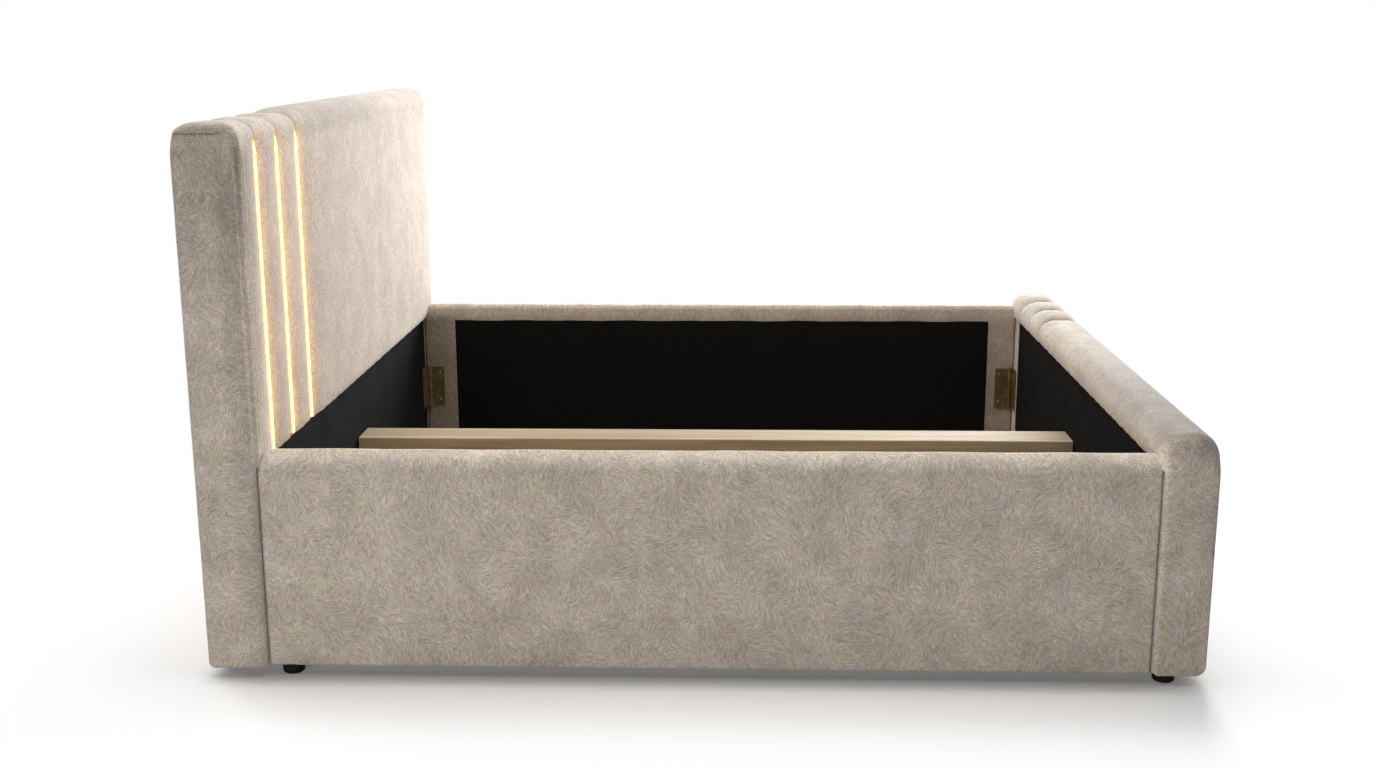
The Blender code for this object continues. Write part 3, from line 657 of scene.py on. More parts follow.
def rounded_run(corners, radii, counts, arc_steps):
    """A line through right-angled corners, each cut by an arc of its radius.

    Corners may be arrays over stations. On an arc the point is
    middle - radius * cos(angle) * onward + radius * sin(angle) * inward.
    """
    corners = [np.asarray(corner, float) for corner in corners]
    angle = np.linspace(0, math.pi / 2, arc_steps + 1)[1:, None]
    parts = [corners[0][..., None, :]]
    last = corners[0]
    for number in range(1, len(corners) - 1):
        before, here, after = corners[number - 1:number + 2]
        radius = np.asarray(radii[number - 1], float)[..., None]
        inward = (here - before) / np.linalg.norm(here - before, axis=-1, keepdims=True)
        onward = (after - here) / np.linalg.norm(after - here, axis=-1, keepdims=True)
        start = here - radius * inward
        parts.append(between(last, start, counts[number - 1]))
        middle = (start + radius * onward)[..., None, :]
        spoke = radius[..., None, :]
        parts.append(middle - spoke * np.cos(angle) * onward[..., None, :]
                     + spoke * np.sin(angle) * inward[..., None, :])
        last = here + radius * onward
    parts.append(between(last, corners[-1], counts[-1]))
    return np.concatenate(parts, axis=-2)


def at(first, second):
    """Points from two rows of coordinates, one station each."""
    return np.stack([first, second], axis=1)


def section_ring(low_side, high_side, foot, top, radii, counts, arc_steps):
    """A closed four-cornered section at each station, begun and ended at the middle of its foot."""
    middle = (low_side + high_side) / 2
    corners = [at(middle, foot), at(high_side, foot), at(high_side, top), at(low_side, top),
               at(low_side, foot), at(middle, foot)]
    return rounded_run(corners, radii, counts, arc_steps)


def end_lids(grid):
    """Flat lids for the two open ends of a section carried along X."""
    return [(grid[0, :-1], [1, 2]), (grid[-1, :-1], [1, 2])]


def along(low, high, step, low_reach=0.0, high_reach=0.0, close_steps=8):
    """Stations from low to high, a step apart, and close together near each rounded edge."""
    drawn = 1 - np.cos(np.linspace(0, math.pi / 2, close_steps + 1))
    start, end = low + low_reach, high - high_reach
    parts = [low + low_reach * drawn] if low_reach else [np.array([low])]
    count = max(int(round((end - start) / step)), 1)
    parts.append(np.linspace(start, end, count + 1)[1:-1])
    parts.append((high - high_reach * drawn)[::-1] if high_reach else np.array([high]))
    return np.concatenate(parts)


def fullness(distance, reach, least, full, power=2.0):
    """Rise from least at the edge to full at the reach, along a quarter of a superellipse."""
    share = np.clip(distance / reach, 0, 1)
    return least + (full - least) * (1 - (1 - share) ** power) ** (1 / power)


def waver(place, lengths_and_shares, phase=0.0):
    """A sum of sines of unlike lengths, so that it doesn't repeat."""
    total = 0.0
    for number, (length, share) in enumerate(lengths_and_shares):
        total = total + share * np.sin(math.tau * place / length + phase + 1.7 * number)
    return total


def pad_paths(outer_runs, inner_runs):
    """Join stretches of the outer skin and of the core behind it, point for point."""
    return np.concatenate(outer_runs), np.concatenate(inner_runs)


def arc(middle, radii, first, last, steps):
    """Points middle + (a cos angle, b sin angle), for angles in degrees."""
    angle = np.radians(np.linspace(first, last, steps + 1))
    return at(middle[0] + radii[0] * np.cos(angle), middle[1] + radii[1] * np.sin(angle))


def flat_run(start, end, step=grid_step):
    """Evenly spaced points from start to end, both left out."""
    start, end = np.asarray(start, float), np.asarray(end, float)
    count = max(int(round(np.linalg.norm(end - start) / step)), 2)
    return start + np.linspace(0, 1, count + 1)[1:-1, None] * (end - start)


def on_core(points, x=None, z=None):
    """The core's points straight behind these: at one X or at one Z."""
    core = points.copy()
    if x is not None:
        core[:, 0] = x
    if z is not None:
        core[:, 1] = z
    return core


def headboard_lines():
    """The outer skin and the core of the headboard's pads, from the front hem to the back edge."""
    front, back, top = head_pad_high.x, head_back, head_pad_high.z
    hem = head_pad_low.z
    depth = front - head_core - hem_lip
    hem_arc = arc((front - depth, hem + hem_rise), (depth, hem_rise), -90, 0, 9)
    rise = flat_run(hem_arc[-1], (front, top - head_corner))
    bend = arc((front - head_corner, top - head_corner), (head_corner, head_corner), 0, 90, 10)
    turn = back + head_back_lean + head_back_reach
    level = flat_run(bend[-1], (turn, top))
    seam = head_core_top - 0.0015
    drop = arc((turn, seam), (head_back_reach, top - seam), 90, 180, 14)
    core_bend = arc((head_core - head_core_corner, head_core_top - head_core_corner),
                    (head_core_corner, head_core_corner), 0, 90, 10)
    outer = [hem_arc, rise, bend, level, drop]
    core = [on_core(hem_arc, x=head_core), on_core(rise, x=head_core), core_bend,
            on_core(level, z=head_core_top), on_core(drop, z=head_core_top)]
    outer, core = pad_paths(outer, core)
    over_top = slice(len(hem_arc) + len(rise) + len(bend), None)
    core[over_top, 0] = np.minimum(core[over_top, 0], head_core - head_core_corner)
    return outer, core


def footboard_lines():
    """The outer skin and the core of the footboard's pads, from the inner hem over to the foot."""
    inner, outer_x, top = foot_pad_low.x, foot_pad_high.x + foot_fuller, foot_pad_high.z
    hem = foot_lining_high.z + foot_hem_rise
    depth = foot_core_inner - inner - hem_lip
    hem_arc = arc((inner + depth, hem + hem_rise), (depth, hem_rise), 270, 180, 9)
    rise = flat_run(hem_arc[-1], (inner, top - foot_corner), 0.003)
    near = arc((inner + foot_corner, top - foot_corner), (foot_corner, foot_corner), 180, 90, 12)
    far = arc((outer_x - foot_corner, top - foot_corner), (foot_corner, foot_corner), 90, 0, 12)
    sole = foot_pad_low.z - foot_sag
    fall = flat_run(far[-1], (outer_x, sole + foot_low_corner))
    toe = arc((outer_x - foot_low_corner, sole + foot_low_corner),
              (foot_low_corner, foot_low_corner), 0, -90, 6)
    r = foot_core_corner
    core_near = arc((foot_core_inner + r, foot_core_top - r), (r, r), 180, 90, 12)
    core_far = arc((foot_core_outer - r, foot_core_top - r), (r, r), 90, 0, 12)
    outer = [hem_arc, rise, near, far, fall, toe]
    core = [on_core(hem_arc, x=foot_core_inner), on_core(rise, x=foot_core_inner), core_near,
            core_far, on_core(fall, x=foot_core_outer), on_core(toe, x=foot_core_outer)]
    return pad_paths(outer, core)


def crowned_pad(name, lines, across, share, phase, hem_pucker=0.0009, seam_pucker=0.0005,
                set_back=0.0, folds=0.0):
    """A closed pad that wraps a core.

    Each point is core + (skin - core) * share, pushed out along the same line by a slow waver
    of the cloth, and by small puckers that die away from the hem and from the seams at the sides.
    Folds add to the push, the hem wanders a little up and down, and the set-back carries skin and
    core along X.
    """
    outer, core = lines
    reach = outer - core
    depth = np.linalg.norm(reach, axis=1)
    outward = reach / depth[:, None]
    walked = np.concatenate([[0.0], np.cumsum(np.linalg.norm(np.diff(outer, axis=0), axis=1))])
    y = across[:, None]
    s = walked[None, :]
    edge = np.minimum(across - across[0], across[-1] - across)[:, None]
    calm = np.clip(edge / 0.02, 0, 1) * np.clip(s / 0.02, 0, 1)
    extra = slack_depth * calm * waver(y + 0.35 * s, slack, phase)
    extra = extra * waver(s + 0.2 * y, slack, phase + 1)
    at_hem = np.exp(-s / 0.016) * np.clip(edge / 0.01, 0, 1)
    at_seam = np.exp(-edge / 0.012) * np.clip(edge / 0.003, 0, 1)
    extra = extra + hem_pucker * waver(y, pucker, phase) * at_hem
    extra = extra + seam_pucker * waver(s, pucker, phase) * at_seam
    wander = hem_wander * waver(y, hem_waves, phase) * np.exp(-s / 0.02)
    skin_points = core + reach * share[..., None] + outward * (extra + folds)[..., None]
    skin_points[..., 1] += wander
    shape = skin_points.shape[:2]
    skin_grid = np.stack([skin_points[..., 0] + set_back, np.broadcast_to(y, shape),
                          skin_points[..., 1]], axis=2)
    core_grid = np.stack([core[:, 0] + np.zeros(shape) + set_back, np.broadcast_to(y, shape),
                          core[:, 1] + wander], axis=2)
    over = lengths(skin_grid, 0)[:, None]
    pattern = np.stack([np.broadcast_to(over, shape), np.broadcast_to(s, shape)], axis=2) + phase
    side = [np.stack([skin_grid[row], core_grid[row]]) for row in (0, -1)]
    ends = [np.stack([skin_grid[:, column], core_grid[:, column]]) for column in (0, -1)]
    return skin(name, [(skin_grid, pattern), core_grid, *side, *ends], sharp=60.0)


def side_share(across, low_edge, high_edge, full, power=2.0):
    """How full the pad is at each place across it. An edge is its reach and its least share."""
    half = (across[-1] - across[0]) / 2
    low = fullness(across - across[0], min(low_edge[0], half), low_edge[1], full, power)
    high = fullness(across[-1] - across, min(high_edge[0], half), high_edge[1], full, power)
    return np.minimum(low, high)


def headboard_pads(cloth):
    """Three rolls at the left end and the wide pad beside them, over the front and the top.

    Down the front the pads start low beside the light strips, and over the top they are full
    up to a tight crease. At the bed's two sides they follow the round corners of the cover.
    """
    lines = headboard_lines()
    outer = lines[0]
    over_top = smooth(outer[:, 1], 1.19, 1.245)[None, :]
    over_top[0, np.argmax(outer[:, 1]):] = 1.0
    back_run = 0.07
    behind = np.clip((head_back + back_run - outer[:, 0]) / back_run, 0, 1)[None, :]
    ahead = smooth(outer[:, 0], head_back + back_run, head_core)[None, :]
    near_end, near_groove = (0.035, 26), (0.03, 8)

    def drawn_in(distance, radius):
        return radius * (1 - np.sqrt(1 - np.clip(1 - distance / radius, 0, 1) ** 2))[:, None]

    for number in range(4):
        name = "headboard_main_pad" if number == 3 else f"headboard_roll_{number + 1}"
        low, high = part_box(name)
        reach = wide_groove_reach if number == 3 else groove_reach
        at_low, at_high = number == 0, number == 3
        low_side, high_side = low.y + 0.06, high.y - 0.06
        low_reach, low_steps = near_end if at_low else near_groove
        high_reach, high_steps = near_end if at_high else near_groove
        across = np.concatenate([
            along(low.y, low_side, 0.003 if at_low else 0.006, low_reach, 0.0, low_steps)[:-1],
            along(low_side, high_side, grid_step / 2 if at_low else grid_step),
            along(high_side, high.y, 0.006, 0.0, high_reach, high_steps)[1:]])
        full = 1.0 if at_high else roll_share
        end = (end_reach, end_share)
        top_edge, front_edge = (reach, groove_share), (reach, front_groove_share)
        top = side_share(across, end if at_low else top_edge, end if at_high else top_edge, full)
        front = side_share(across, end if at_low else front_edge, end if at_high else front_edge,
                           full, 1.6)
        share = front[:, None] + (top - front)[:, None] * over_top
        from_end = np.full_like(across, 1.0)
        if at_low or at_high:
            from_end = np.abs(across - (low.y if at_low else high.y))
        set_back = drawn_in(from_end, head_plan_round) * behind
        set_back = set_back - drawn_in(from_end, head_front_round) * ahead
        height = outer[None, :, 1]
        fold = waver(from_end[:, None] + 0.0012 * np.sin(height * 11), corner_folds)
        fold = 0.0011 * fold * np.exp(-((from_end[:, None] - 0.016) / 0.013) ** 2)
        fold = fold * (1 - smooth(height, 1.15, 1.22)) * smooth(height, 0.52, 0.6)
        piece = crowned_pad(f"padded_{name}", lines, across, share, 0.9 * number,
                            set_back=set_back, folds=fold)
        seated(piece, [name]).data.materials.append(cloth)
        # Painted light and shade written on the pad
        brushed(piece, headboard_painted_shading)


def footboard_pads(cloth):
    """The wide pad and three plumper rolls at the right end, over the top and down the outer face.

    The grooves between them run shallow where the pads turn down inside the bed.
    """
    lines = footboard_lines()
    on_inside = lines[0][:, 0] < foot_pad_low.x + foot_corner
    depth = np.where(on_inside, 0.25 + 0.75 * smooth(lines[0][:, 1], 0.515, 0.578), 1.0)
    groove = (groove_reach, groove_share)
    flush = (0.01, 1.0)
    for number in range(4):
        name = "footboard_main_pad" if number == 0 else f"footboard_roll_{number}"
        low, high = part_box(name)
        at_low, at_high = number == 0, number == 3
        low_y = low.y + end_rim_top if at_low else low.y - roll_shift
        high_y = high.y - end_rim_top if at_high else high.y - roll_shift
        across = along(low_y, high_y, grid_step, 0.0 if at_low else 0.05, 0.0 if at_high else 0.05)
        full = np.full(len(across), 1.0 if at_low else foot_roll_share)
        if at_high:
            full = 1.0 + (foot_roll_share - 1.0) * smooth(high_y - across, 0.0, 0.05)
        share = side_share(across, flush if at_low else groove, flush if at_high else groove, 1.0)
        share = (1 - (1 - share)[:, None] * depth) * full[:, None]
        piece = crowned_pad(f"padded_{name}", lines, across, share, 4.0 + 0.9 * number,
                            seam_pucker=0.0004)
        seated(piece, [name]).data.materials.append(cloth)
        # Painted light and shade written on the pad
        brushed(piece, footboard_painted_shading)


def footboard_ends(cloth):
    """The cloth over each end, with a rounded rim, and its flap that turns in behind the rail."""
    outer = footboard_lines()[0]
    flap_x = end_low.x
    foot = outer[-1, 1]
    hem = outer[0, 1]
    flap_top = (flap_x, hem - 0.004)
    chamfer = 0.01
    closing = [(flap_x + chamfer, foot), (flap_x, foot + chamfer)]
    outline = np.concatenate([outer, closing, flat_run(closing[-1], flap_top, 0.02), [flap_top]])
    middle = np.array([(foot_pad_low.x + foot_pad_high.x) / 2, (foot + foot_pad_high.z) / 2])
    half = np.array([(foot_pad_high.x - flap_x) / 2, (foot_pad_high.z - foot) / 2])
    rim = end_rim_side + (end_rim_top - end_rim_side) * smooth(outline[:, 1], 0.49, 0.565)
    angle = np.linspace(0, math.pi / 2, 9)[:, None]
    inset = np.concatenate([np.zeros((1, len(rim))), rim * (1 - np.cos(angle))])
    lap = 0.006
    inset = np.concatenate([inset, inset[-1:] + lap])
    depth = np.concatenate([np.full((1, len(rim)), end_rim_top), rim * (1 - np.sin(angle)),
                            np.zeros((1, len(rim)))])
    drawn = outline[None] + (middle - outline[None]) / half * inset[..., None]
    # The rim's arc is longer than its inset by pi / 2 - 1, so the cloth is laid that much wider
    arc_gain = 0.57
    let_out = rim[None] * (angle - arc_gain)
    let_out = np.concatenate([let_out[:1] - 0.004, let_out, let_out[-1:] + lap])
    laid = outline[None] + (middle - outline[None]) / half * let_out[..., None]
    laid = np.concatenate([laid, laid[:, :1]], axis=1)
    for side, word in ((-1, "left"), (1, "right")):
        rings = np.stack([drawn[..., 0], side * (foot_half - depth), drawn[..., 1]], axis=2)
        rings = np.concatenate([rings, rings[:, :1]], axis=1)
        lids = [(rings[-1, :-1], [0, 2]), (rings[0, :-1][::-1], [0, 2])]
        end = skin(f"end_cloth_{word}", [(rings, laid)], lids, cloth)
        # Painted light and shade written on the end cloth
        brushed(seated(end), footboard_painted_shading)
        across = np.linspace(side * end_low.y, side * (foot_half - end_rim_top), 12)
        level = along(foot + 0.004, hem + 0.004, 0.012)
        grid_y, grid_z = np.meshgrid(across, level, indexing="ij")
        face = np.stack([np.full_like(grid_y, flap_x), grid_y, grid_z], axis=2)
        flap = skin(f"flap_{word}", [face], material=cloth, thickness=flap_wall)
        seated(flap, [f"footboard_end_cover_{word}"])


def headboard_shell(cloth):
    """The stuffed cover of the ends and the back, carried round on plan from flap to flap.

    Its foot rolls under along a quarter circle, its back leans in below the top, and its ends
    swell by a sine over their depth and a slow waver of the cloth.
    """
    front, back = cover_high.x, head_back
    flap = rail_low.y
    low, top = cover_low.z - head_sag, cover_high.z
    turn = np.linspace(0, math.pi / 2, 7)
    roll, under = 0.017, 0.012
    lean_from, lean_run = 1.185, 0.055
    depth = 0.134
    inset = np.concatenate([[roll + under], roll * (1 - np.sin(turn))])
    level = np.concatenate([[low], low + roll * (1 - np.cos(turn))])
    rise = along(low + roll, top, 0.01)[1:]
    inset = np.concatenate([inset, np.zeros(len(rise))])
    level = np.concatenate([level, rise])
    x_front = front - inset
    x_back = back + inset + head_back_lean * np.clip((level - lean_from) / lean_run, 0, 1) ** 2
    y_end = head_half - inset
    still = np.full_like(inset, flap)
    corners = [at(x_front, -still), at(x_front, -y_end), at(x_back, -y_end), at(x_back, y_end),
               at(x_front, y_end), at(x_front, still)]
    radius = np.maximum(head_front_round - inset, 0.0015)
    back_radius = np.maximum(head_plan_round - inset, 0.0015)
    ring = rounded_run(corners, [radius, back_radius, back_radius, radius], [5, 30, 190, 30, 5], 24)
    normal_out = np.sign(ring[..., 1]) * (np.abs(ring[..., 1]) > head_half - 0.02 - inset[:, None])
    from_front = front - ring[..., 0]
    height = level[:, None]
    calm = smooth(top - height, 0.0, 0.03) * smooth(height - low, 0.0, 0.05)
    body = 0.0012 * np.sin(np.clip(from_front / depth, 0, 1) * math.pi)
    swell = body - 0.0004 + 0.0006 * waver(height + 0.3 * from_front, slack)
    y = ring[..., 1] + normal_out * calm * swell
    grid = np.stack([ring[..., 0], y, np.broadcast_to(height, y.shape)], axis=2)
    shell = skin("stuffed_headboard_cover", [grid], material=cloth, thickness=cover_wall)
    # Painted light and shade written on the cover
    brushed(seated(shell, ["headboard_cover"]), headboard_painted_shading)


def rail_cover(side, word, cloth):
    """A padded rail cover: a closed section carried along the rail, its ends rounded.

    Near an end, at a distance d, the section's corner radius is sqrt(e^2 - (e - d)^2) for the edge
    e, and its top and bottom keep to the arcs of the rail's own corners.
    """
    start, end = rail_low.x, rail_high.x
    head_run, foot_run = start + 0.045, end - 0.03
    x = np.concatenate([along(start, head_run, 0.005, rail_edge, 0.0, 7),
                        along(head_run, foot_run, 0.01)[1:-1],
                        along(foot_run, end, 0.004, 0.0, rail_edge, 7)])
    from_end = np.minimum(x - start, end - x)
    corner = np.where(x < 0, rail_head_corner, rail_foot_corner)

    def drop(radius):
        reach = np.clip(from_end / radius, 0, 1)
        return radius * (1 - np.sqrt(1 - (1 - reach) ** 2))

    edge = np.clip(from_end, 0, rail_edge)
    section = np.sqrt(np.maximum(rail_edge ** 2 - (rail_edge - edge) ** 2, 0))
    section = np.maximum(section, 0.0004)
    high = rail_high.z - drop(corner) + (right_rail_rise if side > 0 else -left_rail_drop)
    low = rail_low.z - rail_sag + drop(np.full_like(x, rail_low_corner))
    inner = side * (rail_low.y + rail_edge - section)
    outer = side * (rail_high.y - rail_edge + section)
    share = section / rail_edge
    small = np.minimum(section, 0.008)
    radii = [small, rail_outer_round * share, rail_inner_round * share, small]
    ring = section_ring(inner, outer, low, high, radii, [2, 60, 2, 40, 2], 9)
    y, z = ring[..., 0], ring[..., 1]
    place = x[:, None]
    outer_face = np.clip((side * y - (rail_high.y - 0.012)) / 0.006, 0, 1)
    top_face = np.clip((z - (high[:, None] - 0.006)) / 0.005, 0, 1)
    crown = np.sin(np.clip((z - low[:, None]) / (high - low)[:, None], 0, 1) * math.pi)
    calm = np.clip(from_end / 0.03, 0, 1)[:, None]
    wave = 0.0008 * waver(place + 0.3 * z, slack, 0.5) * waver(z, rail_face_waves, 1.1)
    near_end = np.exp(-from_end / 0.014) * np.clip(from_end / 0.006, 0, 1)
    end_fold = 0.0006 * waver(z, pucker) * near_end[:, None]
    y = y + side * outer_face * ((wave + 0.001 * crown - 0.001) * calm + end_fold)
    z = z + top_face * 0.0007 * waver(place, rail_top_waves, side) * calm
    grid = np.stack([np.broadcast_to(place, y.shape), y, z], axis=2)
    over = lengths(grid[len(x) // 2:len(x) // 2 + 2], 1)
    pattern = np.stack([np.broadcast_to(place, y.shape), np.broadcast_to(over, y.shape)], axis=2)
    pattern = pattern + side * 3
    cover = skin(f"stuffed_rail_{word}", [(grid, pattern)], end_lids(grid), cloth)
    # Painted light and shade written on the rail cover
    brushed(seated(cover, [f"rail_cover_{word}"]), rail_painted_shading)


def panel_cloth(name, corner, over, up, size, face, thickness, sag, hem_wave, material):
    """A thin cloth panel: a grid over its size that bellies by the sag and whose top hem wavers."""
    u = np.linspace(0, size[0], max(int(size[0] / lining_step), 2) + 1)[:, None]
    v = np.linspace(0, size[1], max(int(size[1] / lining_step), 2) + 1)[None, :]
    top = np.clip((v / size[1] - 0.9) / 0.1, 0, 1)
    lift = hem_wave * waver(u, lining_hem_waves, 0.7) * top
    calm = np.clip(np.minimum(np.minimum(u, size[0] - u), size[1] - v) / 0.05, 0, 1)
    hollow = waver(u + 0.4 * v, lining_hollows, 0.3)
    belly = sag * calm * (0.5 + 0.5 * hollow)
    corner, over, up, face = (np.asarray(a, float) for a in (corner, over, up, face))
    flat = u[..., None] * over + (v + lift)[..., None] * up
    points = corner + flat + belly[..., None] * face
    back = corner - thickness * face + flat
    edges = [np.stack([points[0], back[0]]), np.stack([points[-1], back[-1]]),
             np.stack([points[:, 0], back[:, 0]]), np.stack([points[:, -1], back[:, -1]])]
    return skin(name, [points, back, *edges], material=material)


def linings(cloth):
    """Black cloth inside each rail, and below the pads on the head and foot boards."""
    for side, word in ((-1, "left"), (1, "right")):
        size = (lining_high.x - lining_low.x, lining_high.z - rail_lining_foot)
        corner = (lining_low.x, side * (rail_low.y - 0.0012), rail_lining_foot)
        piece = panel_cloth(f"rail_lining_cloth_{word}", corner, (1, 0, 0), (0, 0, 1), size,
                            (0, -side, 0), thickness=rail_lining_wall, sag=0.001,
                            hem_wave=0.0016, material=cloth)
        seated(piece, [f"rail_lining_{word}"])
    boards = (("headboard", head_lining_low, head_lining_high, head_lining_top, 1, 0.0, "front"),
              ("footboard", foot_lining_low, foot_lining_high, foot_lining_top, -1, 0.0008,
               "inner"))
    for board, low, high, top, facing, hem_wave, carrier in boards:
        size = (high.y - low.y, top - low.z)
        corner = ((high.x if facing > 0 else low.x) - facing * board_lining_wall, low.y, low.z)
        piece = panel_cloth(f"{board}_lining_cloth", corner, (0, 1, 0), (0, 0, 1), size,
                            (facing, 0, 0), thickness=board_lining_wall, sag=0.0005,
                            hem_wave=hem_wave, material=cloth)
        seated(piece, [f"{board}_lining"])


def light_tubes(glow):
    """The round-headed diffusers: a ring carried up the groove, each end drawn in to a dome."""
    for number in (1, 2, 3):
        low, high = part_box(f"led_diffuser_{number}")
        radius = led_radius
        top = high.z + led_rise
        turn = np.linspace(0, math.pi / 2, 6)
        dome = radius * (1 - np.cos(turn))
        straight = np.linspace(low.z + radius, top - radius, 60)[1:-1]
        level = np.concatenate([low.z + dome, straight, top - dome[::-1]])
        drawn_in = radius * np.sin(turn)
        ring_radius = np.concatenate([drawn_in, np.full(len(straight), radius), drawn_in[::-1]])
        angle = np.linspace(0, math.tau, 19)
        lean = led_lean * np.clip((level - top + led_lean_reach) / led_lean_reach, 0, 1) ** 2
        x = high.x - radius + led_forward - lean[:, None] + ring_radius[:, None] * np.cos(angle)
        y = (low.y + high.y) / 2 + ring_radius[:, None] * np.sin(angle)
        z = np.broadcast_to(level[:, None], x.shape)
        tube = skin(f"light_tube_{number}", [np.stack([x, y, z], axis=2)], material=glow)
        seated(tube, [f"led_diffuser_{number}"])


def eased_beam(wood):
    """The centre beam: a planed section with eased edges, carried from board to board."""
    eased, corner, end_run = 0.002, 0.003, 0.03
    x = np.concatenate([[beam_low.x, beam_low.x + eased],
                        np.linspace(beam_low.x + end_run, beam_high.x - end_run, 80),
                        [beam_high.x - eased, beam_high.x]])
    inset = np.where((x == x[0]) | (x == x[-1]), eased, 0.0)
    low_y, high_y = beam_low.y + inset, beam_high.y - inset
    low_z, high_z = beam_low.z + inset, beam_high.z - inset
    radii = [np.full_like(x, corner)] * 4
    ring = section_ring(low_y, high_y, low_z, high_z, radii, [2, 2, 5, 2, 2], 4)
    grid = np.concatenate([np.broadcast_to(x[:, None, None], ring.shape[:2] + (1,)), ring], axis=2)
    beam = skin("planed_centre_beam", [grid], end_lids(grid), wood, sharp=40.0)
    # Painted light and shade written on the beam
    brushed(beam, beam_painted_shading)
    return seated(beam, ["centre_beam"], body="centre_beam")


def dome_screws(name, places, facing, material):
    """Cross-head screws: a low dome, its height falling off as a circle, with a cross cut in."""
    facing = np.asarray(facing, float)
    side = np.cross(facing, (0.0, 0.0, 1.0))
    up = np.cross(facing, side)
    radius = screw_radius
    dome, slot_half, slot_reach, slot_floor = 0.38, 0.16 * radius, 0.62, 0.35
    share = np.linspace(1, 0, 12)[:, None]
    angle = np.linspace(0, math.tau, 33)[None, :]
    a, b = radius * share * np.cos(angle), radius * share * np.sin(angle)
    height = dome * radius * np.sqrt(np.maximum(1 - 0.97 * share ** 2, 0))
    slot = ((np.abs(a) < slot_half) | (np.abs(b) < slot_half)) & (share < slot_reach)
    height = np.where(slot, height * slot_floor, height)
    patches, lids = [], []
    for place in places:
        place = np.asarray(place, float)
        grid = place + a[..., None] * side + b[..., None] * up + height[..., None] * facing
        base = place + a[0, :, None] * side + b[0, :, None] * up
        patches += [grid, np.stack([grid[0], base])]
        lids.append((base[:-1], [0, 2]))
    return skin(name, patches, lids, material, sharp=35.0)


def seam_stitches(thread):
    """Dashes of thread along the top seam of each end: short rods, round at both ends."""
    turn = np.linspace(-1, 1, 9)
    angle = np.linspace(0, math.tau, 9)[None, :]
    thick = stitch_thick * np.sqrt(np.maximum(1 - turn ** 6, 0))[:, None]
    starts = np.arange(cover_low.x + 0.018, cover_low.x + 0.101, stitch_pitch)
    for side, word in ((-1, "left"), (1, "right")):
        patches = []
        for number, start in enumerate(starts):
            x = start + stitch_half * turn[:, None] + np.zeros_like(angle)
            y = side * (head_half + 0.0002) + thick * np.cos(angle)
            z = head_core_top - 0.0005 + 0.0004 * math.sin(2.1 * number) + thick * np.sin(angle)
            patches.append(np.stack([x, y, z], axis=2))
        seated(skin(f"seam_stitches_{word}", patches, material=thread))


def leaf_screws(steel):
    """Two screws in each leaf of the four corner connectors, near the edge away from its pin."""
    for side, hand in ((-1, "left"), (1, "right")):
        for end, where in ((-1, "head"), (1, "foot")):
            low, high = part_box(f"rail_leaf_{where}_{hand}")
            x = low.x + screw_edge if end > 0 else high.x - screw_edge
            face = side * (rail_low.y - skin_gap - leaf_wall)
            places = [(x, face, high.z - screw_rise), (x, face, low.z + screw_rise)]
            name = f"rail_leaf_screws_{where}_{hand}"
            seated(dome_screws(name, places, (0, -side, 0), steel))
            low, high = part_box(f"board_leaf_{where}_{hand}")
            y = side * (min(abs(low.y), abs(high.y)) + screw_edge)
            face = low.x + leaf_wall if end < 0 else high.x - leaf_wall
            places = [(face, y, high.z - screw_rise), (face, y, low.z + screw_rise)]
            name = f"board_leaf_screws_{where}_{hand}"
            seated(dome_screws(name, places, (-end, 0, 0), steel))


def clad_frame(finishes):
    """Give each plain CAD piece that stays its own finish."""
    chosen = {
        "pine": ("headboard_frame", "footboard_frame", "rail_board_", "floor_centre_board",
                 "floor_ledge_"),
        "board": ("headboard_front_board", "footboard_inner_board", "floor_panel_"),
        "steel": ("beam_bracket_", "centre_leg", "leg_plate"),
        "aluminium": ("led_channel_",),
        "plastic": ("led_driver", "power_inlet", "leg_glide", "foot_"),
        "bronze": ("board_leaf_", "rail_leaf_", "connector_pin_"),
    }
    for name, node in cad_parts.items():
        for finish_name, starts in chosen.items():
            if name.startswith(starts):
                for held in node.material_slots:
                    held.material = finishes[finish_name]


